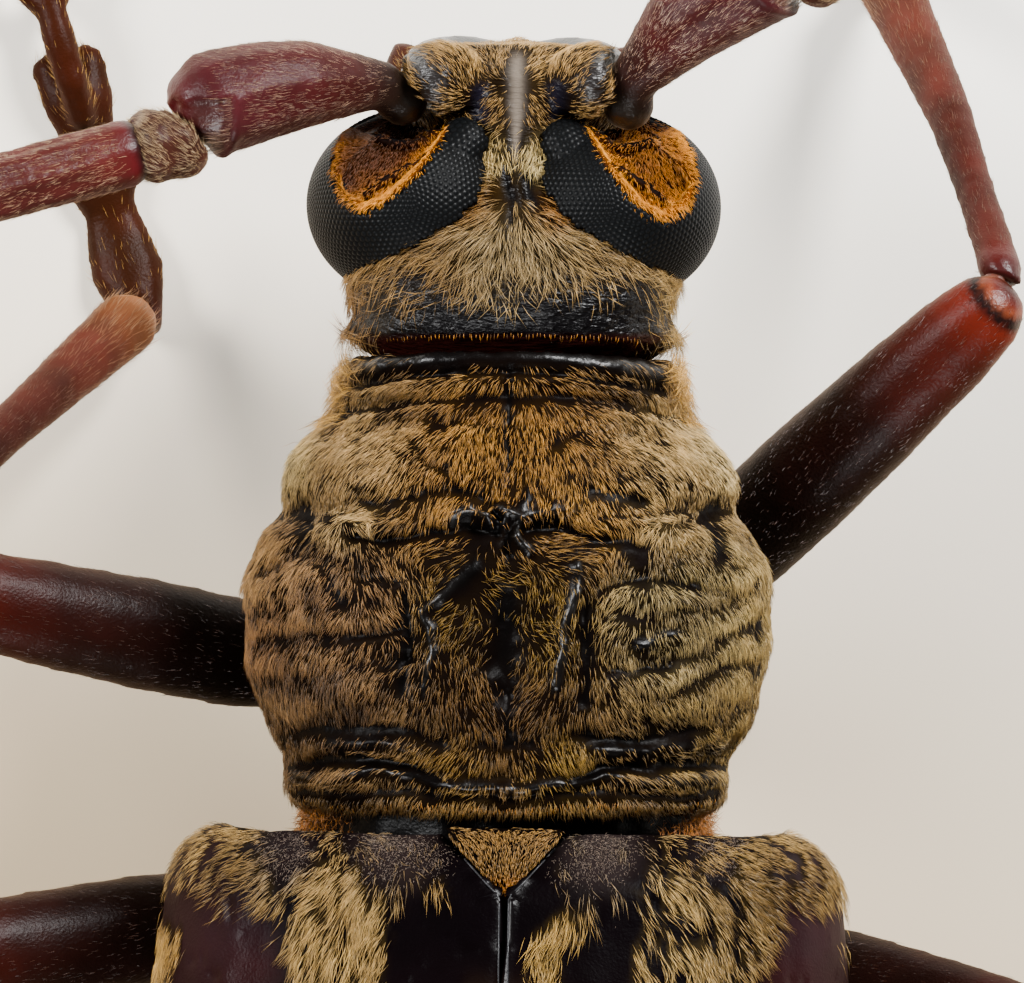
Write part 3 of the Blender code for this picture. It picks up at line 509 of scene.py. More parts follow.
def move_corners(mesh, corners):
    mesh.vertices.foreach_set("co", corners.astype(np.float32).ravel())
    mesh.update()


def triangles_of(mesh):
    mesh.calc_loop_triangles()
    found = np.empty(len(mesh.loop_triangles) * 3, np.int32)
    mesh.loop_triangles.foreach_get("vertices", found)
    return found.reshape(-1, 3)


def fine_skin(name, nodes, grid, rounds, finer=None):
    """A fine closed skin over the solids, with their facets smoothed away.

    The faces that the finer rule picks are cut in four.
    """
    obj = copy_of(name, nodes)
    apply_modifier(obj, "REMESH", mode="VOXEL", voxel_size=grid, use_smooth_shade=True)
    apply_modifier(obj, "SMOOTH", iterations=rounds, factor=0.5)
    if finer is not None:
        shape = bmesh.new()
        shape.from_mesh(obj.data)
        chosen = sorted({e.index for f in shape.faces if finer(f) for e in f.edges})
        shape.edges.ensure_lookup_table()
        bmesh.ops.subdivide_edges(
            shape, edges=[shape.edges[k] for k in chosen], cuts=1, use_grid_fill=True
        )
        shape.to_mesh(obj.data)
        shape.free()
        apply_modifier(obj, "SMOOTH", iterations=2, factor=0.5)
    return obj


def raise_by(obj, heights):
    """Moves each corner out along its normal by its height."""
    mesh = obj.data
    move_corners(mesh, corners_of(mesh) + normals_of(mesh) * np.asarray(heights)[:, None])


def colour_skin(obj, ground, polish):
    """Gives the skin its colour and its polish, point by point; on some skins the colour holds painted
    light and shade.
    """
    count = len(obj.data.vertices)
    ground = np.broadcast_to(np.asarray(ground, float), (count, 3))
    rgba = np.column_stack([ground, np.ones(count)]).astype(np.float32)
    attribute = obj.data.color_attributes.new("ground", "FLOAT_COLOR", "POINT")
    attribute.data.foreach_set("color", rgba.ravel())
    attribute = obj.data.attributes.new("polish", "FLOAT", "POINT")
    attribute.data.foreach_set("value", np.broadcast_to(polish, count).astype(np.float32))


class Surface:
    """Corners, triangles and normals of a skin, to grow hair on."""

    def __init__(self, obj):
        self.corners = corners_of(obj.data)
        self.faces = triangles_of(obj.data)
        self.normals = normals_of(obj.data)

    def tree(self):
        return BVHTree.FromPolygons(self.corners.tolist(), self.faces.tolist())

    def roots(self, density, wanted, rng):
        """Places and outward ways: density in hairs a square millimetre, times wanted at each corner."""
        a, b, c = (self.corners[self.faces[:, k]] for k in range(3))
        area = np.linalg.norm(np.cross(b - a, c - a), axis=1) / 2
        chance = area * np.clip(wanted, 0, None)[self.faces].mean(axis=1)
        reach = np.cumsum(chance)
        count = int(density * reach[-1])
        picked = np.searchsorted(reach, rng.random(count) * reach[-1])
        first, second = rng.random((2, count))
        flip = first + second > 1
        first[flip], second[flip] = 1 - first[flip], 1 - second[flip]
        shares = np.column_stack([1 - first - second, first, second])[:, :, None]
        places = (self.corners[self.faces[picked]] * shares).sum(axis=1)
        outs = unit((self.normals[self.faces[picked]] * shares).sum(axis=1))
        return places, outs


def settle(obj, material, nodes=()):
    """Puts a finished piece where the solids are, gives it its finish, and hangs it on the body."""
    obj.data.transform(FROM_BODY)
    obj.data.materials.clear()
    obj.data.materials.append(material)
    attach(obj, "root")
    if nodes:
        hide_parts(*nodes)
    return obj


# Hair

# Kinds of hair: how many a square mm, the ranges of its length and width in mm and of its lift in
# degrees, how far tips are drawn together, and how much paler than its tone it is. A fringe stands
# in rows, so it has no number a square mm.
Down = namedtuple("Down", "density long wide lift clump light", defaults=(0.0, 1.0))
COATS = {
    "pronotum": Down(1250, (0.18, 0.34), (0.0062, 0.0100), (3, 14), 0.08, 1.12),
    "pronotum_under": Down(280, (0.18, 0.34), (0.018, 0.030), (3, 14), 0.08, 1.12),
    "collar_sides": Down(420, (0.22, 0.50), (0.007, 0.011), (15, 50)),
    "rear_fringe": Down(None, (0.12, 0.22), (0.009, 0.013), (0, 12)),
    "head": Down(760, (0.28, 0.54), (0.0065, 0.0105), (4, 16), 0.10),
    "nape_fringe": Down(None, (0.13, 0.22), (0.009, 0.013), (6, 14)),
    "hollow": Down(1700, (0.09, 0.17), (0.006, 0.009), (8, 30), 0.0, 1.2),
    "wing_front": Down(1000, (0.30, 0.54), (0.0060, 0.0095), (4, 16), 0.24, 1.32),
    "wing_rear": Down(90, (0.30, 0.54), (0.020, 0.032), (4, 16), 0.24, 1.32),
    "stubble": Down(2400, (0.05, 0.10), (0.004, 0.007), (5, 30)),
    "scutellum": Down(1300, (0.10, 0.18), (0.008, 0.012), (5, 18)),
    "underbody": Down(44, (0.22, 0.36), (0.028, 0.040), (8, 20)),
    "waist": Down(520, (0.25, 0.50), (0.007, 0.011), (20, 75), 0.2),
}
# How much the tones of single hairs range: over most of the coat, and in the eyes' hollows.
UNEVEN = (0.3, 1.6)
HOLLOW_UNEVEN = (0.6, 1.35)
CURL = 0.10
# How far tips and bellies stand off, how far a belly bends, and how thick a hair is to its width.
TIP_RISE, BELLY_RISE, BELLY_BEND, THICKNESS = 0.75, 0.5, 0.3, 1.5
# The tone at the root, darkened as painted shade deep in the coat, and how much it gains up to the tip.
ROOT_SHADE, TIP_GAIN = 0.25, 0.95
TAILWARD = (0.0, 1.0, 0.0)
HAIR_SINK = 0.03
# Hair tones are written as they look in the light; these make them the hair's own, deeper colour.
HAIR_DEPTH = (1.05, 1.15, 1.27)
HAIR_SHADE = 0.74
# How many hairs follow one leader, and how far it may pull a tip, as a share of the hair's length.
CLUMP_SIZE = 11
FARTHEST_PULL = 0.6
HAIR_FACES = np.array([(0, 2, 1), (0, 3, 2), (0, 1, 3), (1, 2, 4), (2, 3, 4), (3, 1, 4)])
HAIR_BELLY = 0.45
SPINE_FACES = np.array([(0, 2, 1), (0, 1, 3), (1, 2, 3), (2, 0, 3)])
BAKE_PATCH = 0.003
# The skin under the hair takes the coat's colour, this much darker, as painted shade under the hair.
SHADED_FELT = 0.035


def as_hair(tones):
    """The hair's own colour from how it looks in the light."""
    return np.asarray(tones, float) ** np.array(HAIR_DEPTH) * HAIR_SHADE


def ways_on(ways, outs):
    """The ways, laid along the surface."""
    return unit(ways - (ways * outs).sum(axis=1)[:, None] * outs)


def hairs(down, roots, outs, ways, tones, spots, rng, size=1.0, uneven=UNEVEN):
    """A set of hairs of one kind: where each stands, which way it lies, its tone and its place to bake.

    Where the kind has a clump, each tip is drawn by that share towards the tip of a leading hair near
    it. Size makes each longer or shorter, and uneven is how their tones range.
    """
    count = len(roots)
    ways = ways_on(ways, outs)
    long = rng.uniform(*down.long, count) * size
    pull = np.zeros((count, 3))
    if down.clump:
        leaders = rng.choice(count, max(1, count // CLUMP_SIZE), replace=False)
        tree = KDTree(len(leaders))
        for number, leader in enumerate(leaders):
            tree.insert(roots[leader], number)
        tree.balance()
        led = leaders[[tree.find(root)[1] for root in roots]]
        pull = (roots[led] - roots + ways[led] * long[led][:, None] - ways * long[:, None]) * down.clump
        far = np.linalg.norm(pull, axis=1)[:, None]
        pull *= np.minimum(1, FARTHEST_PULL * long[:, None] / np.maximum(far, 1e-9))
    return {
        "roots": roots,
        "outs": outs,
        "ways": ways,
        "pull": pull,
        "tones": as_hair(tones) * down.light * rng.uniform(*uneven, (count, 1)),
        "spots": spots,
        "long": long,
        "wide": rng.uniform(*down.wide, count),
        "lift": np.radians(rng.uniform(*down.lift, count)),
        "curl": rng.normal(0, CURL, count),
    }


def all_of(code, roots):
    """One tone for every hair."""
    return np.tile(colour(code), (len(roots), 1))


def lying(way, roots, scatter, rng):
    """One way for every hair, scattered."""
    return np.tile(way, (len(roots), 1)) + rng.normal(0, scatter, roots.shape)


def hair_mesh(name, sets, bent=True):
    """Closed hairs as one mesh: bent ones taper both ways from a belly, others from the root."""
    lot = {key: np.concatenate([each[key] for each in sets]) for key in sets[0]}
    count, outs, ways = len(lot["roots"]), lot["outs"], lot["ways"]
    sides = np.cross(ways, outs)
    curl, long, wide = (lot[key][:, None] for key in ("curl", "long", "wide"))
    rise = np.sin(lot["lift"])[:, None] * long
    start = lot["roots"] - outs * HAIR_SINK
    tip = start + ways * long + outs * (HAIR_SINK + rise * TIP_RISE)
    tip = tip + sides * long * curl + lot["pull"]
    bend = sides * long * curl * BELLY_BEND + lot["pull"] * BELLY_BEND
    belly = start + (ways * long + bend) * HAIR_BELLY
    belly += outs * (HAIR_SINK + rise * BELLY_RISE)
    ring = belly if bent else start
    half = wide / 2
    ring = [ring + sides * half, ring - sides * half, ring + outs * half * THICKNESS]
    corners = np.stack(([start] if bent else []) + ring + [tip], axis=1)
    each = corners.shape[1]
    pattern = HAIR_FACES if bent else SPINE_FACES
    faces = (pattern[None] + np.arange(count)[:, None, None] * each).reshape(-1, 3)
    mesh = bpy.data.meshes.new(name)
    mesh.vertices.add(count * each)
    mesh.vertices.foreach_set("co", corners.astype(np.float32).ravel())
    mesh.loops.add(faces.size)
    mesh.loops.foreach_set("vertex_index", faces.astype(np.int32).ravel())
    mesh.polygons.add(len(faces))
    mesh.polygons.foreach_set("loop_start", np.arange(0, faces.size, 3, dtype=np.int32))
    mesh.polygons.foreach_set("use_smooth", np.ones(len(faces), bool))
    mesh.update(calc_edges=True)

    along = np.array([0, *[HAIR_BELLY] * 3, 1.0] if bent else [0, 0, 0, 1.0])
    across = np.array([0.5, 0, 1, 0.5, 0.5] if bent else [0, 1, 0.5, 0.5])
    # Painted shade: each hair is darkest at its root and gains tone up to its tip.
    rgb = lot["tones"][:, None, :] * (ROOT_SHADE + TIP_GAIN * along)[None, :, None]
    rgba = np.concatenate([rgb, np.ones((count, each, 1))], axis=2).astype(np.float32)
    attribute = mesh.color_attributes.new("coat", "FLOAT_COLOR", "POINT")
    attribute.data.foreach_set("color", rgba.ravel())
    patch = np.stack([across, along], axis=-1)[None] * BAKE_PATCH
    places = lot["spots"][:, None, :] * (1 - BAKE_PATCH) + patch
    layer = mesh.uv_layers.new(name="OFBake")
    layer.data.foreach_set("uv", places.reshape(-1, 2)[faces.ravel()].astype(np.float32).ravel())
    obj = bpy.data.objects.new(name, mesh)
    bpy.context.scene.collection.objects.link(obj)
    return settle(obj, SETAE)


def turned(flow, angle):
    """Flat ways turned by an angle each."""
    cos, sin = np.cos(angle), np.sin(angle)
    return np.column_stack(
        [flow[:, 0] * cos - flow[:, 1] * sin, flow[:, 0] * sin + flow[:, 1] * cos]
    )


def photo_ray(spot):
    """Where the camera's ray through a spot of the photograph starts and which way it goes."""
    right, up = camera_ways()
    scale = CAMERA_SENSOR / CAMERA_LENS / PHOTO_WIDTH
    across, down = spot[0] - PHOTO_MIDDLE[0], spot[1] - PHOTO_MIDDLE[1]
    return Vector(CAMERA_PLACE), (right * across - up * down) * scale - Vector((0, 0, 1))


def seen_at(tree, spots):
    """The points of a surface seen at spots of the photograph, and their normals."""
    hits = [tree.ray_cast(*photo_ray(spot)) for spot in spots]
    hits = [hit for hit in hits if hit[0] is not None]
    return np.array([hit[0] for hit in hits]), np.array([hit[1] for hit in hits])


def round_axis(centre, axis, low, high, band=(0.0, 1.0)):
    """An unwrap of a long form: the turn round its axis, and the share of its length."""
    axis = Vector(axis).normalized()
    across = np.array(axis.orthogonal().normalized())
    axis = np.array(axis)
    other = np.cross(axis, across)

    def unwrap(points):
        away = points - centre
        turn = np.arctan2(away @ other, away @ across) / (2 * math.pi) + 0.5
        share = np.clip((away @ axis - low) / (high - low), 0, 1)
        return np.column_stack([turn, band[0] + share * (band[1] - band[0])])

    return unwrap


# Prothorax
# Marks in the photograph's pixels: height in mm (furrows are below zero), half width in pixels,
# how bare and polished it is, and the line it follows.

PRONOTUM_MARKS = (
    (+0.17, 8, 1.0, ((346, 371), (407, 363), (463, 357), (510, 356), (563, 359), (660, 375))),
    (-0.17, 4, 1.0, ((346, 384), (407, 376), (463, 371), (510, 370), (563, 373), (660, 389))),
    (+0.06, 6, 0.0, ((372, 392), (430, 383), (500, 380))),
    (+0.06, 6, 0.0, ((518, 380), (590, 383), (650, 396))),
    (-0.05, 4, 0.3, ((365, 408), (430, 400), (505, 396), (590, 399), (660, 412))),
    (-0.08, 4, 1.0, ((510, 366), (508, 400), (509, 435), (510, 478))),
    (-0.06, 4, 0.9, ((417, 441), (431, 458), (453, 474), (471, 488))),
    (-0.10, 6, 1.0, ((370, 500), (417, 493), (434, 485), (478, 492), (492, 500))),
    (-0.10, 6, 1.0, ((594, 490), (620, 494), (643, 498))),
    (+0.12, 8, 0.0, ((335, 520), (400, 524), (430, 516), (460, 507))),
    (+0.12, 8, 0.0, ((552, 507), (590, 520), (625, 524), (672, 521))),
    (-0.22, 8, 1.0, ((352, 535), (400, 538), (432, 530), (466, 524), (490, 530))),
    (-0.22, 8, 1.0, ((520, 526), (556, 524), (590, 538), (640, 540))),
    (+0.20, 6, 1.0, ((452, 517), (470, 512), (487, 517))),
    (+0.20, 6, 1.0, ((524, 515), (540, 512), (556, 517))),
    (+0.26, 6, 1.0, ((486, 519), (494, 527), (504, 522), (505, 512))),
    (+0.24, 5, 1.0, ((500, 509), (512, 512), (518, 520), (513, 534))),
    (+0.20, 5, 1.0, ((514, 534), (522, 543), (531, 551))),
    (+0.16, 5, 1.0, ((526, 490), (529, 498), (523, 505))),
    (-0.18, 4, 1.0, ((495, 512), (499, 519), (496, 534))),
    (-0.18, 4, 1.0, ((508, 521), (506, 540), (510, 556))),
    (+0.16, 7, 1.0, ((473, 569), (452, 588), (431, 607))),
    (+0.18, 6, 1.0, ((421, 612), (431, 626), (433, 655), (425, 690))),
    (+0.20, 6, 1.0, ((574, 566), (576, 592), (567, 626), (562, 652), (557, 685))),
    (-0.12, 7, 1.0, ((584, 605), (588, 650), (584, 700))),
    (-0.12, 7, 1.0, ((405, 596), (408, 640), (404, 690))),
    (-0.22, 15, 1.0, ((505, 600), (505, 640), (506, 690))),
    (-0.06, 5, 1.0, ((507, 690), (509, 735))),
    (-0.12, 6, 1.0, ((601, 588), (620, 579), (660, 578), (695, 583))),
    (+0.10, 7, 0.0, ((610, 600), (650, 594), (700, 597))),
    (-0.12, 6, 1.0, ((362, 575), (391, 577))),
    (+0.14, 5, 1.0, ((634, 646), (655, 642), (676, 633))),
    (-0.11, 5, 1.0, ((613, 671), (645, 667), (670, 663))),
    (-0.11, 5, 1.0, ((354, 634), (394, 631))),
    (-0.10, 5, 1.0, ((387, 664), (411, 659))),
    (-0.12, 7, 1.0, ((300, 728), (360, 726), (420, 731), (440, 741))),
    (-0.12, 7, 1.0, ((575, 731), (600, 738), (640, 739), (700, 728))),
    (+0.10, 5, 0.9, ((330, 742), (390, 744), (418, 752))),
    (+0.10, 5, 0.9, ((597, 749), (640, 751), (690, 744))),
    (-0.08, 5, 1.0, ((484, 742), (508, 744), (532, 741))),
    (-0.13, 6, 1.0, ((300, 761), (360, 757), (412, 766), (440, 778))),
    (-0.13, 6, 1.0, ((572, 779), (601, 765), (650, 767), (720, 763))),
    (+0.10, 14, 0.0, ((440, 762), (480, 763))),
    (+0.10, 14, 0.0, ((535, 763), (580, 760))),
    (+0.15, 5, 1.0, ((283, 772), (330, 781), (377, 769), (412, 776), (448, 786), (507, 790))),
    (+0.15, 5, 1.0, ((507, 790), (566, 787), (601, 773), (644, 783), (700, 780), (738, 768))),
    (-0.12, 4, 1.0, ((285, 786), (340, 795), (400, 789), (507, 799), (600, 790), (680, 795), (736, 783))),
    (-0.10, 8, 0.8, ((303, 500), (312, 520), (300, 545))),
    (-0.10, 8, 0.8, ((716, 500), (706, 520), (718, 545))),
    (-0.05, 6, 0.6, ((322, 560), (340, 600))),
)
# Where hair lies which way: place, reach, and the way it points in the photograph.
PRONOTUM_FLOW = (
    (460, 372, 22, -1.0, 0.35),
    (560, 372, 22, 1.0, 0.35),
    (420, 392, 24, -0.9, 0.7),
    (600, 392, 24, 0.9, 0.7),
    (470, 395, 24, -0.5, 1.0),
    (548, 395, 24, 0.5, 1.0),
    (509, 455, 50, 0.0, 1.0),
    (440, 460, 40, -0.35, 1.0),
    (580, 460, 40, 0.30, 1.0),
    (380, 470, 40, -0.55, 1.0),
    (640, 470, 40, 0.50, 1.0),
    (370, 514, 26, -1.0, 0.45),
    (645, 514, 26, 1.0, 0.45),
    (318, 470, 30, -0.4, 1.0),
    (700, 470, 30, 0.45, 1.0),
    (372, 560, 26, 0.45, 1.0),
    (310, 570, 26, -0.35, 1.0),
    (640, 560, 26, -0.30, 1.0),
    (700, 570, 26, 0.45, 1.0),
    (450, 555, 20, -0.8, 0.5),
    (400, 560, 20, 0.2, 1.0),
    (560, 550, 20, 1.0, -0.35),
    (490, 600, 18, 0.35, 1.0),
    (530, 600, 18, 0.45, 1.0),
    (480, 640, 20, -0.6, 1.0),
    (540, 660, 20, -0.45, 1.0),
    (470, 700, 26, 0.40, 1.0),
    (545, 700, 26, -0.40, 1.0),
    (455, 758, 22, -0.7, 1.0),
    (560, 758, 22, 0.7, 1.0),
    (640, 620, 26, -0.5, 1.0),
    (700, 650, 34, 0.25, 1.0),
    (360, 690, 30, -0.1, 1.0),
    (380, 620, 20, 0.6, 1.0),
    (300, 700, 34, -0.2, 1.0),
)
# Tones of the coat in the photograph: place, reach and colour.
# Partly painted light: the beetle's right side, towards the key lamp, is set lighter than its left.
PRONOTUM_TONES = (
    (510, 455, 62, *colour("c8964a")),
    (440, 500, 40, *colour("c0924a")),
    (590, 500, 40, *colour("c79a50")),
    (370, 470, 46, *colour("c6a674")),
    (660, 470, 46, *colour("d8b882")),
    (345, 520, 24, *colour("d0b483")),
    (668, 520, 24, *colour("c8ab78")),
    (320, 600, 60, *colour("9e7e5a")),
    (310, 700, 60, *colour("82684a")),
    (690, 620, 60, *colour("bcab7e")),
    (720, 720, 50, *colour("b29a66")),
    (470, 600, 40, *colour("8d7430")),
    (540, 620, 40, *colour("927a34")),
    (500, 700, 50, *colour("745a30")),
    (455, 760, 26, *colour("a3843e")),
    (560, 760, 26, *colour("ad9044")),
    (262, 640, 30, *colour("8c6844")),
    (752, 620, 30, *colour("c8ad72")),
    (280, 450, 28, *colour("f0d498")),
    (262, 560, 22, *colour("c09a66")),
    (722, 445, 30, *colour("f8dca4")),
    (757, 580, 20, *colour("d8bc84")),
)
# How much hair there is: place, reach and share.
PRONOTUM_COVER = (
    (505, 575, 40, 0.10),
    (505, 640, 36, 0.06),
    (440, 600, 28, 0.12),
    (590, 620, 28, 0.14),
    (500, 520, 26, 0.04),
    (410, 560, 26, 0.30),
    (590, 560, 22, 0.35),
    (400, 650, 28, 0.32),
    (470, 705, 28, 0.36),
    (545, 705, 28, 0.36),
    (355, 600, 34, 0.70),
    (660, 590, 34, 0.75),
    (455, 760, 24, 0.55),
    (560, 760, 24, 0.55),
    (510, 715, 20, 0.15),
    (360, 735, 24, 0.25),
    (640, 740, 24, 0.25),
    (510, 372, 30, 0.15),
    (330, 480, 40, 1.10),
    (690, 480, 40, 1.20),
    (510, 452, 50, 0.48),
    (440, 455, 40, 0.80),
    (585, 455, 40, 0.85),
    (302, 498, 13, 0.05),
    (312, 520, 12, 0.10),
    (283, 640, 12, 0.25),
    (716, 492, 13, 0.05),
    (706, 520, 12, 0.15),
    (742, 610, 10, 0.30),
    (540, 470, 9, 0.15),
    (470, 470, 9, 0.30),
    (583, 470, 8, 0.10),
)
PRONOTUM_PINCHES = ((341, 519, 30), (672, 520, 30))
# The golden hair beside the collar, seen in the photograph.
COLLAR_SIDES = (((338, 352), (344, 380), (338, 405)), ((682, 352), (676, 380), (684, 405)))
COLLAR_REACH = 14
REAR_FRINGE_ROW = ((285, 797), (340, 804), (400, 800), (507, 807), (600, 800), (680, 804), (736, 795))
FRINGE_ROW = ((385, 337), (420, 333), (513, 331), (600, 333), (640, 337))
FRINGE_STEP = 3.8
PRONOTUM_MIDDLE = 509
# The skin's colour under the hair and where it is bare; bare skin's polish, and its gain on ridges.
PRONOTUM_GROUND, PRONOTUM_BARE = "080403", "030202"
PRONOTUM_SHINE = (0.05, 0.55)
# Where the prothorax's coat is split in pieces, and where its upper coat starts and ends.
PRONOTUM_PARTINGS = (-4.8, -2.4)
PRONOTUM_AHEAD, PRONOTUM_BEHIND = (-7.62, -7.45), (-0.32, -0.22)
# The marks stand this much of their height, and waver freely from here on.
RELIEF = 0.75
MARKS_FREE = (380, 420)
# How much wider than written the marks are, in their height and in their bareness.
MARK_WIDTH, BARE_WIDTH = 1.15, 1.05
PINCH_STRENGTH = 1.4
# The cross folds of the sides: their spacing and lean in pixels, their height, and where they are.
FOLD_SPACING, FOLD_LEAN, FOLD_RISE = 6.8, 60, 0.034
FOLDED_BESIDE, FOLDED_BEHIND, FOLDED_AHEAD = (85, 150), (500, 545), (425, 455)
PRONOTUM_AXIS, PRONOTUM_ENDS = (0, 0, 8.3), (-7.7, 0.0)
FAN_WIDTH = 260
# The disc's hair lies every way: its middle and half size in pixels.
DISC_PLACE, DISC_SIZE = (505, 610), (105, 80)


def row_of_spots(points, distance):
    """Spots at even steps along a line of the photograph."""
    xs, ys = zip(*points)
    across = np.arange(xs[0], xs[-1], distance)
    return np.column_stack([across, np.interp(across, xs, ys)])


def relief(places, marks, facing):
    """Height and bareness at places of the photograph, under marks of one part.

    The marks waver a little, but hardly on the head and the collar.
    """
    free = 0.15 + 0.85 * step(places[:, 1], *MARKS_FREE)
    wobble = [lumps(places, "wobble_across"), lumps(places, "wobble_along")]
    wobble = np.column_stack(wobble) * free[:, None]
    height, bare = np.zeros(len(places)), np.zeros(len(places))
    rough = 0.90 + lumps(places, "rough_marks") * free
    for rise, reach, bareness, line in marks:
        near = near_line(places + wobble, line, reach * MARK_WIDTH)
        height += rise * near * rough * RELIEF
        bare = np.maximum(bare, bareness * near_line(places + wobble, line, reach * BARE_WIDTH))
    return height * facing, bare * facing


def to_body_ways(flow):
    """Ways in the photograph, right and down, as ways over the beetle's back."""
    right, up = (np.array(way) for way in camera_ways())
    return flow[:, :1] * right - flow[:, 1:] * up


def pinched(places, flow, pinches):
    """Draws the flow together before each pinch and lets it spread after it."""
    flow = unit(flow)
    for x, y, reach in pinches:
        away = places - (x, y)
        near = np.exp(-((away / reach) ** 2).sum(axis=1))
        spread = unit(away) * np.where(away[:, 1] > 0, 1, -1)[:, None]
        flow = flow * (1 - near[:, None]) + spread * near[:, None] * PINCH_STRENGTH
    return flow


def side_folds(corners, places):
    """The cross folds of the pronotum's sides, from -1 in their furrows to 1 on their crests."""
    warp = lumps(corners, "fold_warp") + lumps(corners, "fold_quiver")
    folds = np.sin(places[:, 1] / FOLD_SPACING + warp + places[:, 0] / FOLD_LEAN)
    beside = step(np.abs(places[:, 0] - PRONOTUM_MIDDLE), *FOLDED_BESIDE)
    beside = beside * step(places[:, 1], *FOLDED_BEHIND)
    ahead = 1 - step(places[:, 1], *FOLDED_AHEAD)
    return folds * np.maximum(beside, 0.7 * ahead) * (0.7 + lumps(corners, "fold_patches"))


def pronotum_coat(corners, normals):
    """How much hair is where on the prothorax, its tone, and where the coat may grow."""
    places = photo_xy(corners)
    facing = step(normals[:, 2], 0.05, 0.4)
    _, bare = relief(places, PRONOTUM_MARKS, facing)
    folds = side_folds(corners, places) * facing
    cover = blended(places, PRONOTUM_COVER, [0.9], 0.25)[:, 0]
    cover *= 1 - np.clip(bare * 1.15, 0, 0.94)
    cover *= 0.60 + lumps(corners, "pronotum_gaps") + 0.32 * folds
    ahead = corners[:, 1]
    outside = step(ahead, *PRONOTUM_AHEAD) * (1 - step(ahead, *PRONOTUM_BEHIND))
    beneath = 0.30 * step(-normals[:, 2], -0.1, 0.2)
    cover = np.where(normals[:, 2] > 0.0, cover * (0.45 + 0.55 * facing), beneath)
    tones = blended(places, PRONOTUM_TONES, colour("9c8156"))
    # Painted light and shade: hair on the side folds' crests is set lighter, and in their furrows darker.
    tones = tones * (1 + 0.35 * folds + lumps(corners, "pronotum_tones"))[:, None]
    return np.clip(cover * outside, 0, 2), np.clip(tones, 0, 1), outside


def pronotum_ways(roots, outs, rng):
    """Which way each hair of the prothorax lies: as the photograph shows, and any way on the disc."""
    spots = photo_xy(roots)
    leaning = np.clip((spots[:, 0] - PRONOTUM_MIDDLE) / FAN_WIDTH, -0.8, 0.8)
    fan = np.column_stack([leaning, np.ones(len(spots))])
    flow = pinched(spots, blended(spots, PRONOTUM_FLOW, fan), PRONOTUM_PINCHES)
    disc = np.exp(-(((spots - DISC_PLACE) / DISC_SIZE) ** 2).sum(axis=1))
    turn = lumps(roots, "pronotum_turns") * (0.24 + 1.5 * disc) + rng.normal(0, 0.09, len(roots))
    turn += rng.normal(0, 0.35, len(roots)) * disc
    ways = to_body_ways(turned(flow, turn))
    ways[outs[:, 2] < 0.1] = (0, 1, 0)
    return ways


def collar_hair(surface, outside, unwrap, rng):
    """The golden hair that stands out beside the collar."""
    places = photo_xy(surface.corners)
    beside = sum(near_line(places, line, COLLAR_REACH) for line in COLLAR_SIDES)
    wanted = beside * outside * (surface.normals[:, 2] < 0.75)
    down = COATS["collar_sides"]
    roots, outs = surface.roots(down.density, wanted, rng)
    ways = [np.sign(roots[:, 0]), rng.normal(-0.2, 0.5, len(roots)), roots[:, 0] * 0]
    tones = all_of("e0b060", roots)
    return hairs(down, roots, outs, np.column_stack(ways), tones, unwrap(roots), rng)


def fringe(surface, spots, kind, code, shake, scatter, unwrap, rng):
    """A row of hairs towards the tail, at spots of the photograph shaken by some pixels."""
    spots = spots + rng.normal(0, shake, spots.shape)
    roots, outs = seen_at(surface.tree(), spots)
    ways = lying(TAILWARD, roots, scatter, rng)
    return hairs(COATS[kind], roots, outs, ways, all_of(code, roots), unwrap(roots), rng)


def make_prothorax(rng):
    """The folded, ridged pronotum and the coat that follows its folds."""
    obj = fine_skin("pronotum_skin", ["prothorax"], *GRIDS["pronotum"], lambda f: f.normal.z > 0.15)
    corners, normals = corners_of(obj.data), normals_of(obj.data)
    places = photo_xy(corners)
    facing = step(normals[:, 2], 0.05, 0.5)
    height, bare = relief(places, PRONOTUM_MARKS, facing)
    height += lumps(corners, "pronotum_skin") + lumps(corners, "pronotum_grain")
    height += FOLD_RISE * side_folds(corners, places) * facing * (1 - bare)
    height += lumps(corners, "pronotum_ridges") * bare
    raise_by(obj, height)
    surface = Surface(obj)
    cover, tones, outside = pronotum_coat(surface.corners, surface.normals)
    darker = np.clip(bare + lumps(corners, "pronotum_ground"), 0, 1)
    ground = mixed(colour(PRONOTUM_GROUND), colour(PRONOTUM_BARE), darker)
    ground = mixed(ground, as_hair(tones) * SHADED_FELT, np.clip(cover, 0, 1))
    low, more = PRONOTUM_SHINE
    colour_skin(obj, ground, bare * (low + more * step(height, 0.05, 0.14)))
    settle(obj, SHELL, ["prothorax"])

    unwrap = round_axis(PRONOTUM_AXIS, (0, 1, 0), *PRONOTUM_ENDS)
    upper = surface.normals[:, 2] > 0
    ahead = surface.corners[:, 1]
    front, rear = PRONOTUM_PARTINGS
    parts = (
        ("front", upper & (ahead < front)),
        ("middle", upper & (ahead >= front) & (ahead < rear)),
        ("rear", upper & (ahead >= rear)),
        ("under", ~upper),
    )
    for part, chosen in parts:
        down = COATS["pronotum_under" if part == "under" else "pronotum"]
        roots, outs = surface.roots(down.density, cover * chosen, rng)
        ways = pronotum_ways(roots, outs, rng)
        _, tones, _ = pronotum_coat(roots, outs)
        sets = [hairs(down, roots, outs, ways, tones, unwrap(roots), rng)]
        if part == "front":
            sets.append(collar_hair(surface, outside, unwrap, rng))
        if part == "rear":
            spots = row_of_spots(REAR_FRINGE_ROW, FRINGE_STEP)
            spots = np.concatenate([spots, spots + (FRINGE_STEP / 2, 3)])
            sets.append(fringe(surface, spots, "rear_fringe", "c89040", 1.0, 0.12, unwrap, rng))
        hair_mesh(f"coat_pronotum_{part}", sets, bent=part != "under")


# Head

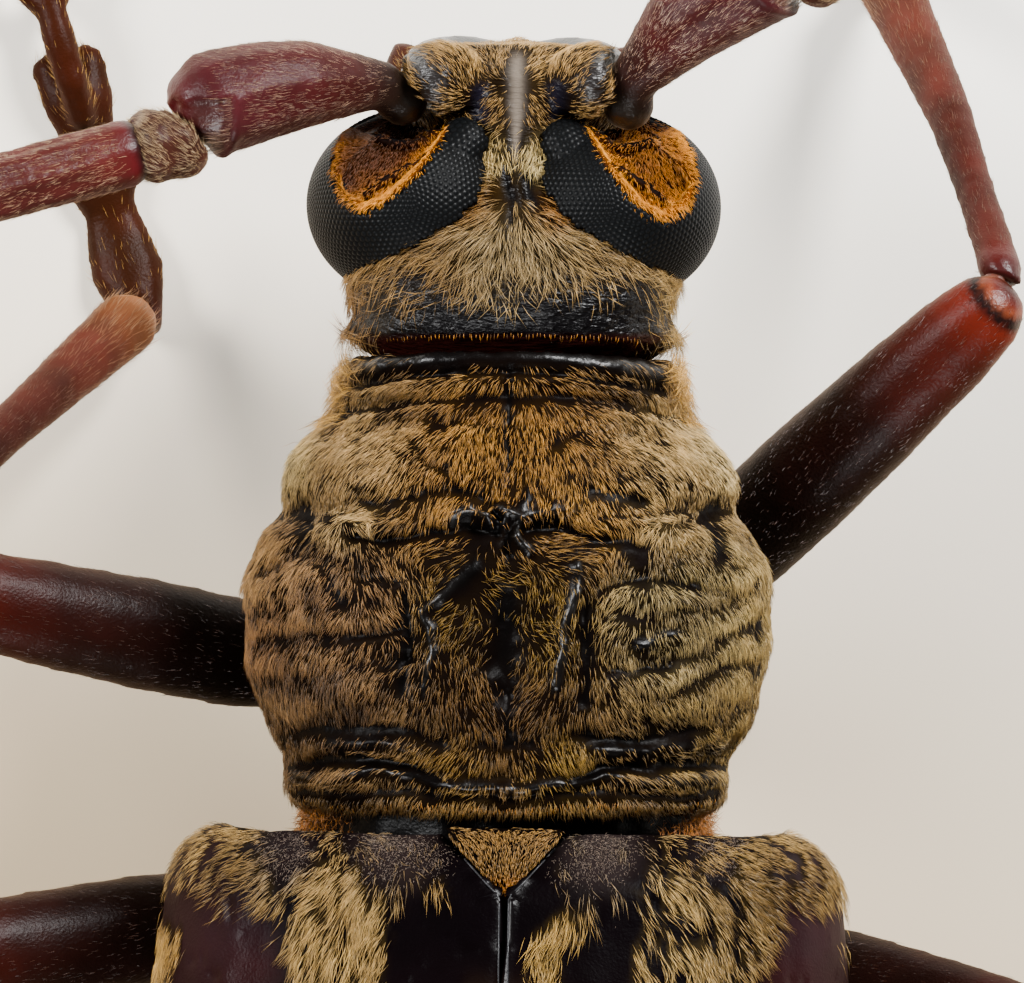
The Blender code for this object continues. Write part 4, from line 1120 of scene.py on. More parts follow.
HEAD_MARKS = (
    (-0.06, 9, 1.0, ((516, 66), (517, 110), (516, 160))),
    (-0.12, 5, 1.0, ((505, 168), (507, 184), (512, 196))),
    (-0.12, 6, 1.0, ((527, 178), (528, 192), (533, 204))),
    (+0.08, 6, 0.6, ((514, 190), (514, 202))),
    (+0.07, 9, 1.0, ((480, 94), (480, 116))),
    (+0.07, 8, 1.0, ((557, 90), (557, 112))),
    (+0.03, 8, 0.6, ((408, 52), (424, 56), (440, 72))),
    (+0.03, 8, 0.6, ((616, 54), (604, 60), (592, 76))),
    (-0.05, 4, 0.6, ((512, 206), (512, 240))),
)
HEAD_FLOW = (
    (492, 150, 14, 0.35, 1.0),
    (484, 178, 10, -0.8, 1.0),
    (540, 150, 14, -0.35, 1.0),
    (546, 190, 12, 0.7, 1.0),
    (440, 60, 40, -0.8, -0.6),
    (590, 60, 40, 0.8, -0.6),
    (515, 40, 40, 0.1, -1.0),
    (500, 100, 20, -0.5, 0.8),
    (530, 100, 20, 0.5, 0.8),
)
HEAD_COVER = (
    (517, 90, 9, 0.0),
    (517, 125, 9, 0.0),
    (516, 158, 8, 0.0),
    (492, 152, 14, 2.4),
    (541, 160, 15, 2.4),
    (514, 200, 9, 0.1),
    (480, 105, 12, 0.05),
    (557, 100, 12, 0.05),
    (516, 60, 9, 0.1),
)
HEAD_TONES = (
    (492, 150, 18, *colour("ffe2a0")),
    (541, 160, 20, *colour("ffe6a8")),
    (545, 205, 14, *colour("c8862c")),
    (480, 200, 16, *colour("c08a3c")),
    (400, 268, 50, *colour("c09e6a")),
    (620, 268, 50, *colour("cfb07c")),
    (514, 250, 40, *colour("d4bc90")),
    (512, 60, 60, *colour("d2ac70")),
    (345, 300, 30, *colour("a88050")),
    (675, 300, 30, *colour("d2b070")),
)
HEAD_WHORL = (514, 192)
HEAD_MIDDLE = (0, -10.0, 8.4)
OCCIPUT = (246, 300)
HEAD_PARTING = -10.4
# How much wider the head is behind the eyes than its solid.
HEAD_WIDENING = 0.17
# The grey, nearly bare rims of the feelers' sockets, their grey partly painted sheen, and how far they
# reach bare and polished.
SOCKET_RIMS = (
    ((404, 50), (424, 62), (436, 84), (434, 104)),
    ((620, 56), (600, 66), (590, 84), (592, 98)),
)
RIM_BARE, RIM_SHINE = 12, 11
# The grey strip between the feelers: half its width, how much of that it loses, and where.
HEAD_STRIP = ((517, 60), (517, 110), (515, 160))
STRIP_WIDTH, STRIP_LOSS, STRIP_TAPER = 7.0, 4.5, (105, 158)
HEAD_SWELLINGS = (((480, 92), (480, 118)), ((557, 88), (557, 114)))
SWELLING_REACH = 9
# In the photograph's pixels: the middle of the head and its sides, its smooth back and its nape,
# and where its hair gets longer, lies crossed, and is combed forwards.
HEAD_LINE, HEAD_BESIDE = 512, (120, 165)
HEAD_BACK, HEAD_NAPE = (262, 300), (331, 343)
HAIR_LONGER, HAIR_CROSSED, HAIR_FORWARDS = (100, 205), (225, 285), (-150, -90)
# In mm along the body: where the head is widened, and where its hair ends above and beneath.
HEAD_WIDER, HEAD_BARE, HEAD_BENEATH = (-8.4, -7.8), (-7.9, -7.5), -7.6
HEAD_ENDS = (-2.9, 2.9)


def head_coat(corners, normals):
    """How much hair is where on the head, its tone, and how long it is."""
    places = photo_xy(corners)
    facing = step(normals[:, 2], 0.0, 0.35)
    _, bare = relief(places, HEAD_MARKS, facing)
    for rim in SOCKET_RIMS:
        bare = np.maximum(bare, 0.9 * near_line(places, rim, RIM_BARE))
    cover = blended(places, HEAD_COVER, [0.95], 0.5)[:, 0] * (1 - np.clip(1.2 * bare, 0, 1))
    beside = step(np.abs(places[:, 0] - HEAD_LINE), *HEAD_BESIDE)
    fade = 1 - step(places[:, 1] + lumps(places, "occiput_edge"), *OCCIPUT) * (1 - 0.42 * beside)
    cover *= fade * (0.75 + lumps(corners, "head_gaps"))
    cover *= 1 - step(corners[:, 1], *HEAD_BARE)
    cover = np.where(normals[:, 2] > -0.1, cover, 0.30 * (corners[:, 1] < HEAD_BENEATH))
    tones = blended(places, HEAD_TONES, colour("a58450"))
    tones = tones * (1 + lumps(corners, "head_tones"))[:, None]
    size = 0.5 + 0.6 * step(places[:, 1], *HAIR_LONGER)
    return np.clip(cover, 0, 2), np.clip(tones, 0, 1), size


def head_ground(places, facing, bare, back, cover, tones):
    """The head's colour and its polish: a grey strip, grey rims and swellings, the rims' grey partly
    painted sheen, painted shade under the hair, and a red nape.
    """
    ground = mixed(colour("070303"), colour("030203"), np.maximum(bare, back))
    ground = mixed(ground, as_hair(tones) * SHADED_FELT, np.clip(cover, 0, 1))
    narrow = STRIP_WIDTH - STRIP_LOSS * step(places[:, 1], *STRIP_TAPER)
    strip = near_line(places, HEAD_STRIP, narrow) * facing
    ground = mixed(ground, colour("665c52"), 0.85 * strip)
    rims = sum(near_line(places, rim, RIM_SHINE) for rim in SOCKET_RIMS) * facing
    # Partly painted sheen: the sockets' rims are mixed towards grey, besides their polish below.
    ground = mixed(ground, colour("1a1615"), 0.8 * np.clip(rims, 0, 1))
    swelling = sum(near_line(places, line, SWELLING_REACH) for line in HEAD_SWELLINGS)
    ground = mixed(ground, colour("12101c"), 0.8 * np.clip(swelling, 0, 1) * facing)
    ground = mixed(ground, colour("2a0c08"), 0.8 * step(places[:, 1], *HEAD_NAPE) * facing)
    polish = 0.35 * bare + 0.32 * back + 0.9 * rims - 0.3 * strip
    return ground, np.clip(polish, 0, 0.9)


def head_ways(roots, outs, rng):
    """Which way each hair of the head lies: out from the whorl, and crossed on the occiput."""
    spots = photo_xy(roots)
    away = unit(spots - HEAD_WHORL)
    front = step(-spots[:, 1], *HAIR_FORWARDS)[:, None]
    base = away * (1 - front) + np.column_stack([away[:, 0], -np.ones(len(spots))]) * front
    flow = unit(blended(spots, HEAD_FLOW, base))
    turn = lumps(roots, "head_turns") + rng.normal(0, 0.13, len(roots))
    turn += rng.choice((-1, 1), len(roots)) * 0.5 * step(spots[:, 1], *HAIR_CROSSED)
    ways = to_body_ways(turned(flow, turn))
    ways[outs[:, 2] < 0.0] = (0, 0.4, -1)
    return ways


def make_head(rng):
    """The head, widened behind the eyes, with its coat and the fringe of its nape."""
    obj = fine_skin("head_skin", ["head"], *GRIDS["head"], lambda f: f.normal.z > 0.1)
    corners = corners_of(obj.data)
    corners[:, 0] *= 1 + HEAD_WIDENING * step(corners[:, 1], *HEAD_WIDER)
    move_corners(obj.data, corners)
    normals = normals_of(obj.data)
    places = photo_xy(corners)
    facing = step(normals[:, 2], 0.0, 0.4)
    height, bare = relief(places, HEAD_MARKS, facing)
    back = step(places[:, 1], *HEAD_BACK) * facing
    height += lumps(corners, "head_wrinkles") * back + lumps(corners, "head_skin")
    raise_by(obj, height)
    surface = Surface(obj)
    cover, tones, _ = head_coat(surface.corners, surface.normals)
    colour_skin(obj, *head_ground(places, facing, bare, back, cover, tones))
    settle(obj, HEAD_SHELL, ["head"])

    down = COATS["head"]
    unwrap = round_axis(HEAD_MIDDLE, (0, 1, 0), *HEAD_ENDS)
    ahead = surface.corners[:, 1] < HEAD_PARTING
    for part, chosen in (("front", ahead), ("back", ~ahead)):
        roots, outs = surface.roots(down.density, cover * chosen, rng)
        ways = head_ways(roots, outs, rng)
        _, tones, size = head_coat(roots, outs)
        sets = [hairs(down, roots, outs, ways, tones, unwrap(roots), rng, size)]
        if part == "back":
            spots = row_of_spots(FRINGE_ROW, FRINGE_STEP)
            sets.append(fringe(surface, spots, "nape_fringe", "c98d3c", 0.7, 0.06, unwrap, rng))
        hair_mesh(f"coat_head_{part}", sets)
    return surface.tree()


# Eyes

EYE_CENTRE = (1.60, -10.06, 8.90)
EYE_RADII = (1.76, 1.58, 2.10)
EYE_LOBE = ((0.80, -11.02, 9.98, 0.44), (1.25, -10.50, 10.02, 0.60), (1.95, -9.95, 9.85, 0.72))
HEAD_SLACK = 0.04
EYE_HOLLOWS = {
    "left": (
        (448, 100), (446, 131), (420, 169), (401, 188), (384, 202), (361, 211),
        (341, 196), (332, 169), (337, 147), (348, 125), (364, 100),
    ),
    "right": (
        (584, 100), (589, 134), (614, 175), (639, 206), (667, 220),
        (690, 206), (698, 175), (689, 147), (673, 125), (660, 100),
    ),
}
# The hollows' lit edges: painted light makes lining and hair lighter along them.
EYE_LIT_EDGES = {
    "left": ((446, 131), (420, 169), (401, 188), (361, 211)),
    "right": ((589, 134), (614, 175), (639, 206), (667, 220), (692, 200)),
}
# From where the hollows' hair is combed, and how much painted light it has away from their edges: much in
# the right hollow, little in the left, painted as shaded by its feeler.
HOLLOW_HEADS = {"left": (412, 100), "right": (640, 104)}
HOLLOW_LIGHT = {"left": 0.02, "right": 0.50}
HOLLOW_DEPTH = 0.20
FACET_ROUNDS = 4
FACET_CUTS = 2
FACET_RISE = 0.018
# Of a facet's shoulder, the share of its middle and of its rim, and how high it is to the top.
FACET_SHARES, FACET_SHOULDER = (0.42, 0.58), 0.8
BED_DEPTH = 0.02
LOBE_BALLS = 25
# In the photograph's pixels: how the hollow's edge fades and how it slopes, and the reach of its
# bright edge and of its rim, on its lining and in its hair.
HOLLOW_EDGE, HOLLOW_SLOPE = (-1, 2), (0, 12)
LINING_EDGE, LINING_RIM = 14, (3, 12)
HOLLOW_HAIR_EDGE, HOLLOW_HAIR_RIM = 15, (3, 14)
EYE_ENDS = (-2.1, 2.1)
SOCKET_CENTRE = (1.86, -11.72, 9.85)


def eye_middle(side):
    return np.array((side * EYE_CENTRE[0], *EYE_CENTRE[1:]))


def facet_net():
    """Directions of the eye's facets: centres, the corners they share, and who owns which."""
    bpy.ops.object.select_all(action="DESELECT")
    bpy.ops.mesh.primitive_ico_sphere_add(subdivisions=FACET_ROUNDS, radius=1.0)
    ball = bpy.context.object
    bpy.ops.object.mode_set(mode="EDIT")
    bpy.ops.mesh.select_all(action="SELECT")
    bpy.ops.mesh.subdivide(number_cuts=FACET_CUTS)
    bpy.ops.mesh.quads_convert_to_tris()
    bpy.ops.object.mode_set(mode="OBJECT")
    centres, faces = unit(corners_of(ball.data)), triangles_of(ball.data)
    bpy.data.objects.remove(ball)
    corners = unit(centres[faces].mean(axis=1))
    owners = [[] for _ in centres]
    for index, face in enumerate(faces):
        for corner in face:
            owners[corner].append(index)
    return centres, corners, owners


def inside(places, outline):
    """How far places lie inside an outline of the photograph, in pixels; outside is below zero."""
    crossings = np.zeros(len(places), int)
    far = np.full(len(places), np.inf)
    x, y = places[:, 0], places[:, 1]
    for (ax, ay), (bx, by) in zip(outline, outline[1:] + outline[:1]):
        run = np.array((bx - ax, by - ay), float)
        along = np.clip(((x - ax) * run[0] + (y - ay) * run[1]) / (run @ run), 0, 1)
        far = np.minimum(far, np.hypot(x - ax - along * run[0], y - ay - along * run[1]))
        between = (ay > y) != (by > y)
        over = np.where(between, ax + (y - ay) / (by - ay if by != ay else 1) * (bx - ax), -np.inf)
        crossings += between & (x < over)
    return np.where(crossings % 2 == 1, far, -far)


def eye_reach(ways, side):
    """How far the eye's rounding is from its centre, along each way: a dome and the lobe across it."""
    centre = eye_middle(side)
    reach = 1 / np.linalg.norm(ways / EYE_RADII, axis=1)
    steps = np.linspace(0, 1, LOBE_BALLS)[:, None]
    lobe = np.array(EYE_LOBE) * (side, 1, 1, 1)
    balls = np.concatenate([a + (b - a) * steps for a, b in zip(lobe, lobe[1:])])
    for *middle, radius in balls:
        away = np.array(middle) - centre
        along = ways @ away
        spare = radius**2 - (away @ away - along**2)
        reach = np.maximum(reach, np.where(spare > 0, along + np.sqrt(np.maximum(spare, 0)), 0))
    return reach


def standing_free(points, head, hollow, floor):
    """Whether points stand free of the head and outside the hollow."""
    free = np.ones(len(points), bool)
    for number, point in enumerate(points):
        near, normal, _, _ = head.find_nearest(Vector(point))
        free[number] = (Vector(point) - near).dot(normal) > HEAD_SLACK
    hidden = (inside(photo_xy(points), hollow) > 0) & (points[:, 2] > floor)
    return free & ~hidden


def in_turn(own, out, corners):
    """The corners of a facet, in their order round its middle."""
    first = corners[own[0]] - out * (corners[own[0]] @ out)
    across = np.cross(out, first)

    def angle(k):
        away = corners[k] - out
        return math.atan2(away @ across, away @ first)

    return sorted(own, key=angle)


def make_lenses(side, word, net, head):
    """A closed shell of lenses, one on each facet of the eye that stands free."""
    centre = eye_middle(side)
    centres, corners, owners = net
    middles = centre + centres * eye_reach(centres, side)[:, None]
    shared = centre + corners * eye_reach(corners, side)[:, None]
    kept_middle = standing_free(middles, head, EYE_HOLLOWS[word], centre[2])
    kept_corner = standing_free(shared, head, EYE_HOLLOWS[word], centre[2])
    of_middle, of_rim = FACET_SHARES
    shape = bmesh.new()
    hub = shape.verts.new(centre)
    low = {}
    facets = []
    for index, own in enumerate(owners):
        if not kept_middle[index] or not all(kept_corner[k] for k in own):
            continue
        out = centres[index]
        own = in_turn(own, out, corners)
        for k in own:
            if k not in low:
                low[k] = shape.verts.new(shared[k])
        rise = out * FACET_RISE * FACET_SHOULDER
        ring = [shape.verts.new(middles[index] * of_middle + shared[k] * of_rim + rise) for k in own]
        top = shape.verts.new(middles[index] + out * FACET_RISE)
        rim = [low[k] for k in own]
        facets.extend(ring + [top])
        for a in range(len(own)):
            b = (a + 1) % len(own)
            shape.faces.new((rim[a], rim[b], ring[b], ring[a]))
            shape.faces.new((ring[a], ring[b], top))
    for edge in [e for e in shape.edges if e.is_boundary]:
        loop = edge.link_loops[0]
        shape.faces.new((loop.link_loop_next.vert, loop.vert, hub))
    bmesh.ops.recalc_face_normals(shape, faces=shape.faces)
    bmesh.ops.triangulate(shape, faces=shape.faces)
    shape.verts.index_update()
    raised = np.zeros(len(shape.verts))
    for vert in facets:
        raised[vert.index] = 1
    mesh = bpy.data.meshes.new(f"lenses_{word}")
    shape.to_mesh(mesh)
    shape.free()
    mesh.polygons.foreach_set("use_smooth", np.ones(len(mesh.polygons), bool))
    lenses = bpy.data.objects.new(f"lenses_{word}", mesh)
    bpy.context.scene.collection.objects.link(lenses)
    # Painted shade: the seams between the lenses are set darker than the lenses' tops.
    colour_skin(lenses, mixed(colour("020202"), colour("0a0b0c"), raised), raised)
    settle(lenses, LENS)


def make_eye(side, word, net, head, rng):
    """The dark eye, its hollow beside the feeler lined with orange hair, and its lenses."""
    obj = fine_skin(f"eye_bed_{word}", [f"eye_{word}"], *GRIDS["eye"])
    surface = Surface(obj)
    places = photo_xy(surface.corners)
    upper = step(surface.normals[:, 2], 0.0, 0.2)
    deep = inside(places, EYE_HOLLOWS[word])
    hollow = step(deep, *HOLLOW_EDGE) * upper
    # Painted light and shade on the orange lining: lighter along the lit edges and the rim, darker inside.
    bright = near_line(places, EYE_LIT_EDGES[word], LINING_EDGE)
    bright = bright + 0.3 * (1 - step(deep, *LINING_RIM))
    lining = mixed(colour("1a0a04"), colour("5c2e04"), np.clip(bright, 0, 1))
    colour_skin(obj, mixed(colour("070708"), lining, hollow), 0.0)
    sunk = BED_DEPTH + hollow * (HOLLOW_DEPTH * step(deep, *HOLLOW_SLOPE) - BED_DEPTH)
    move_corners(obj.data, surface.corners - surface.normals * sunk[:, None])
    surface = Surface(obj)
    make_lenses(side, word, net, head)
    settle(obj, SHELL, [f"eye_{word}"])

    down = COATS["hollow"]
    roots, outs = surface.roots(down.density, hollow, rng)
    spots = photo_xy(roots)
    ways = to_body_ways(unit(spots - HOLLOW_HEADS[word])) + rng.normal(0, 0.16, roots.shape)
    # Painted light and shade on the hollow's hair: lighter along the lit edges and the rim, darker inside.
    bright = near_line(spots, EYE_LIT_EDGES[word], HOLLOW_HAIR_EDGE)
    rim = 1 - step(inside(spots, EYE_HOLLOWS[word]), *HOLLOW_HAIR_RIM)
    bright = np.maximum(bright, 0.55 * rim)
    bright = np.clip(bright + lumps(roots, "hollow_tones") + HOLLOW_LIGHT[word], 0, 1)
    tones = mixed(colour("7a4c20"), colour("ffae0c"), bright)
    unwrap = round_axis(eye_middle(side), (0, 0, 1), *EYE_ENDS)
    places = unwrap(roots)
    lining = hairs(down, roots, outs, ways, tones, places, rng, uneven=HOLLOW_UNEVEN)
    hair_mesh(f"coat_eye_hollow_{word}", [lining])


# Wing cases

WING_FLOW = (
    (230, 875, 34, -1.0, 0.15),
    (225, 915, 26, -0.75, 0.8),
    (192, 875, 18, -0.5, 1.0),
    (170, 950, 24, -0.25, 1.0),
    (290, 855, 24, -0.4, 1.0),
    (300, 905, 26, -0.75, 1.0),
    (350, 915, 40, -0.45, 1.0),
    (350, 965, 30, -0.30, 1.0),
    (395, 850, 34, 0.15, 1.0),
    (427, 895, 20, 0.35, 1.0),
    (470, 940, 24, 0.35, 1.0),
    (775, 875, 36, 1.0, 0.25),
    (765, 930, 30, 0.8, 1.0),
    (690, 905, 36, 0.55, 1.0),
    (660, 955, 30, 0.30, 1.0),
    (560, 940, 24, -0.35, 1.0),
    (595, 850, 34, 0.0, 1.0),
    (845, 930, 22, 0.35, 1.0),
)
WING_COVER = (
    (448, 848, 8, 0.0),
    (468, 866, 8, 0.0),
    (488, 886, 8, 0.0),
    (562, 848, 8, 0.0),
    (541, 866, 8, 0.0),
    (522, 886, 8, 0.0),
    (435, 950, 30, 0.0),
    (415, 975, 24, 0.0),
    (235, 962, 34, 0.0),
    (195, 905, 18, 0.05),
    (478, 900, 14, 0.1),
    (508, 940, 13, 0.0),
    (470, 945, 13, 0.35),
    (427, 890, 15, 0.8),
    (340, 915, 40, 1.2),
    (345, 970, 30, 1.1),
    (235, 865, 30, 1.1),
    (285, 858, 18, 0.45),
    (395, 848, 28, 0.5),
    (172, 940, 14, 1.1),
    (608, 850, 26, 0.55),
    (625, 920, 16, 0.0),
    (600, 960, 18, 0.0),
    (560, 940, 17, 0.95),
    (535, 900, 16, 0.0),
    (690, 930, 34, 1.25),
    (670, 975, 24, 1.0),
    (770, 880, 36, 1.15),
    (820, 935, 22, 0.0),
    (800, 975, 22, 0.0),
    (850, 935, 13, 1.0),
)
WING_TONES = (
    (235, 870, 34, *colour("a48a5a")),
    (175, 920, 24, *colour("cfa860")),
    (285, 858, 20, *colour("8f8478")),
    (345, 925, 44, *colour("cdae74")),
    (400, 850, 34, *colour("8a7a60")),
    (427, 893, 16, *colour("c8a668")),
    (600, 850, 30, *colour("908676")),
    (690, 925, 44, *colour("d2b47a")),
    (560, 940, 24, *colour("cbaa68")),
    (775, 880, 40, *colour("a88e5c")),
    (850, 920, 24, *colour("d8b878")),
)
WING_FRONT = 3.3
# How far the wing case's inner edge is from the middle beside the scutellum: along it, before and after.
SCUTELLUM_STATIONS = (0.0, 0.3, 0.6, 0.73, 0.93, 1.04, 1.12, 1.3)
WING_EDGE_WAS = (1.10, 1.02, 0.85, 0.77, 0.54, 0.42, 0.12, 0.12)
WING_EDGE = (1.02, 0.78, 0.50, 0.38, 0.18, 0.07, 0.04, 0.04)
SCUTELLUM_EDGE_WAS = (0.95, 0.88, 0.70, 0.58, 0.32, 0.02, 0.01, 0.01)
SCUTELLUM_EDGE = (0.95, 0.72, 0.44, 0.33, 0.14, 0.01, 0.01, 0.01)
SCUTELLUM_LIFT = 0.30
BEAD_INSET = 0.035
BEAD_RADIUS = 0.015
BEAD_ENDS, BEAD_STEP = (0.04, 23.0), 0.09
# From this height the wing case is looked for, and so far back its grid is the finer one.
ABOVE_ALL, WING_FINE_TO = 20.0, WING_FRONT + 0.3
PITS, PIT_DEPTH = (0.45, 0.8), 0.03
# The thickened margins and the smooth ground beside them, and how far they reach in pixels.
WING_MARGINS = (
    ((438, 834), (470, 865), (496, 893), (505, 990)),
    ((572, 834), (540, 865), (513, 893), (507, 990)),
)
WING_CALM = (((440, 834), (505, 895), (505, 990)), ((570, 834), (508, 895), (508, 990)))
MARGIN_REACH, CALM_REACH, MARGIN_RISE = 3.5, 16, 0.06
# Where the hair gets longer, in the photograph's pixels.
WING_LONGER = (855, 890)
# In mm from the middle: half the seam, how far beside it the edge is pulled, and where the sides are
# brown, partly painted reflection, and polished.
SEAM_HALF, EDGE_PULL, BROWN_AND_SHEEN_SIDES, POLISHED_SIDES = 0.035, 0.9, (3.9, 5.2), (3.6, 4.6)
# In mm from the wing cases' front: where the coat starts, where its front part turns to its rear
# part, where silk and swirls start, and where the rear colours do.
WING_COAT_START, COAT_TURNS_REAR = (0.02, 0.12), (WING_FRONT - 0.4, WING_FRONT + 0.8)
SILK_START, REAR_COLOURS = (2.0, 4.0), (1.5, 3.5)
# In mm: how near the middle and how low the coat grows, and how far forwards and inwards the stubble.
WING_COAT_EDGE, WING_COAT_FLOOR = 0.28, 7.2
STUBBLE_START, STUBBLE_EDGE = 0.1, 0.3
WING_AXIS, WING_ENDS = (2.8, 0, 7.0), (0.0, 28.0)
SCUTELLUM_RISES, SCUTELLUM_HAIRY, SCUTELLUM_TIP = (-0.2, 0.4), (-0.02, 0.05), 0.97
SCUTELLUM_AXIS, SCUTELLUM_ENDS = (0, 0.5, 11.2), (-0.4, 0.5)
# Colours of the wing cases' front in the photograph: place, reach and colour.
WING_GROUND = (
    (395, 850, 26, *colour("1c1514")),
    (600, 850, 26, *colour("1f1817")),
    (285, 850, 20, *colour("150e0e")),
    (720, 850, 20, *colour("150e0e")),
    # Partly painted reflection: the purple-brown of the outer margins holds sheen from the sides.
    (215, 945, 34, *colour("1e0d11")),
    (235, 985, 30, *colour("2c0a0c")),
    (818, 935, 24, *colour("200e13")),
    (800, 985, 24, *colour("280b0e")),
)
# Where the wing cases bear only short grey stubble: place, reach and how much.
WING_STUBBLE = (
    (390, 850, 24, 1.0),
    (435, 862, 12, 0.6),
    (600, 848, 22, 1.0),
    (570, 868, 12, 0.5),
    (285, 852, 16, 0.7),
    (722, 852, 16, 0.7),
    (430, 930, 60, 0.0),
    (600, 960, 50, 0.0),
    (215, 950, 50, 0.0),
    (820, 950, 50, 0.0),
)


def wing_coat(corners, normals):
    """How much hair is where on a wing case: in front, in tufts with gaps between, and behind."""
    places = photo_xy(corners)
    cover = np.clip(blended(places, WING_COVER, [0.8], 0.08)[:, 0], 0, 2)
    patchy = cover + lumps(corners, "wing_tufts")
    cover *= step(patchy, 0.40, 0.95) * (0.36 + lumps(corners, "wing_gaps"))
    ahead = corners[:, 1]
    outside = step(normals[:, 2], -0.05, 0.15) * step(ahead, *WING_COAT_START)
    outside = outside * (np.abs(corners[:, 0]) > WING_COAT_EDGE) * (corners[:, 2] > WING_COAT_FLOOR)
    rear = 0.25 + 1.1 * step(lumps(corners, "wing_silk"), -0.2, 0.5)
    tones = blended(places, WING_TONES, colour("b29562"), 0.05)
    tones = tones * (0.92 + lumps(corners, "wing_tones"))[:, None]
    behind = step(ahead, *COAT_TURNS_REAR)
    front = np.clip(cover * outside * (1 - behind), 0, 2)
    return front, rear * outside * behind, np.clip(tones, 0, 1)


def make_bead(side, word, tree):
    """The raised bead along a wing case's inner edge, beside the scutellum and down the back."""
    curve = bpy.data.curves.new(f"wing_bead_{word}", "CURVE")
    curve.dimensions = "3D"
    curve.bevel_depth = BEAD_RADIUS
    curve.bevel_resolution = 1
    curve.use_fill_caps = True
    points = []
    for back in np.arange(*BEAD_ENDS, BEAD_STEP):
        across = side * (np.interp(back, SCUTELLUM_STATIONS, WING_EDGE) + BEAD_INSET)
        hit = tree.ray_cast(Vector((across, back, ABOVE_ALL)), Vector((0, 0, -1)))[0]
        if hit is not None:
            points.append((*hit, 1.0))
    line = curve.splines.new("POLY")
    line.points.add(len(points) - 1)
    line.points.foreach_set("co", np.array(points, np.float32).ravel())
    obj = bpy.data.objects.new(curve.name, curve)
    bpy.context.scene.collection.objects.link(obj)
    select_only(obj)
    bpy.ops.object.convert(target="MESH")
    bpy.ops.object.shade_smooth()
    bead = bpy.context.object
    # Partly painted highlight: the dark bead is set grey along its length, besides its polish.
    colour_skin(bead, colour("222224"), 0.45)
    settle(bead, SHELL)


def shape_wing(obj, side):
    """Closes the seam and raises lumps and margins.

    Returns each corner's place in the photograph and how near it is to a margin.
    """
    corners = corners_of(obj.data)
    edge = np.interp(corners[:, 1], SCUTELLUM_STATIONS, WING_EDGE_WAS)
    new_edge = np.interp(corners[:, 1], SCUTELLUM_STATIONS, WING_EDGE)
    beside = np.abs(corners[:, 0])
    near = 1 - step(beside - edge, 0.0, EDGE_PULL)
    corners[:, 0] = side * np.maximum(beside - (edge - new_edge) * near, SEAM_HALF)
    move_corners(obj.data, corners)
    normals = normals_of(obj.data)
    height = lumps(corners, "wing_skin") + lumps(corners, "wing_waves")
    height -= PIT_DEPTH * step(lumps(corners, "wing_pits"), *PITS)
    places = photo_xy(corners)
    margin = sum(near_line(places, line, MARGIN_REACH) for line in WING_MARGINS)
    calm = sum(near_line(places, line, CALM_REACH) for line in WING_CALM)
    height *= 1 - np.clip(calm, 0, 1)
    height += MARGIN_RISE * margin * (normals[:, 2] > 0.3)
    raise_by(obj, height)
    return places, margin


def wing_ground(surface, places, margin, front, tones):
    """A wing case's colour and polish: black, with brown sides, partly painted reflection, painted shade
    under the hair, and the silk's ground behind.
    """
    corners, ahead = surface.corners, surface.corners[:, 1]
    beside = np.abs(corners[:, 0])
    silk = step(lumps(corners, "wing_silk") + lumps(corners, "wing_silk_edge"), -0.1, 0.5)
    behind = step(ahead, *SILK_START) * (surface.normals[:, 2] > -0.1)
    darker = step(lumps(corners, "wing_ground"), -0.3, 0.5)
    ground = mixed(colour("080304"), colour("030102"), darker)
    before = blended(places, WING_GROUND, colour("030102"), 0.2)
    ground = mixed(before, ground, step(ahead, *REAR_COLOURS))
    ground = mixed(ground, colour("2c1e0e"), 0.75 * silk * behind)
    # Partly painted reflection: the sides are mixed towards brown where light from the sides shows on
    # them.
    brown_and_sheen = 0.6 * step(beside, *BROWN_AND_SHEEN_SIDES) * (1 - silk * behind)
    ground = mixed(ground, colour("1e0c0e"), brown_and_sheen)
    ground = mixed(ground, as_hair(tones) * SHADED_FELT, np.clip(front, 0, 1))
    polish = 0.01 + 0.07 * step(beside, *POLISHED_SIDES)
    polish = np.where(ahead < WING_FRONT, polish * (1 - np.clip(front, 0, 1)), 0.15 - 0.12 * silk)
    return ground, np.clip(polish + 0.3 * margin, 0, 1)


def wing_ways(side, roots, outs, rng):
    """Which way each hair of a wing case lies: as the photograph shows, in slow swirls behind."""
    swirl = lumps(roots, "wing_swirl") * step(roots[:, 1], *SILK_START)
    base = turned(np.tile((-side * 0.3, 1.0), (len(roots), 1)), swirl)
    flow = unit(blended(photo_xy(roots), WING_FLOW, base, 0.05))
    turn = lumps(roots, "wing_turns") + rng.normal(0, 0.09, len(roots))
    ways = to_body_ways(turned(flow, turn))
    ways[outs[:, 2] < 0.35] += (0, 1, -0.3)
    return ways


def stubble(surface, unwrap, rng):
    """The short grey hair of the wing cases' bare places."""
    corners, down = surface.corners, COATS["stubble"]
    stubbly = blended(photo_xy(corners), WING_STUBBLE, [0.0], 0.2)[:, 0]
    stubbly = stubbly * (surface.normals[:, 2] > 0.3) * (corners[:, 1] > STUBBLE_START)
    stubbly = stubbly * (np.abs(corners[:, 0]) > STUBBLE_EDGE)
    stubbly = stubbly * (0.7 + lumps(corners, "wing_stubble"))
    roots, outs = surface.roots(down.density, stubbly, rng)
    ways = lying(TAILWARD, roots, 0.4, rng)
    return hairs(down, roots, outs, ways, all_of("8e847e", roots), unwrap(roots), rng)


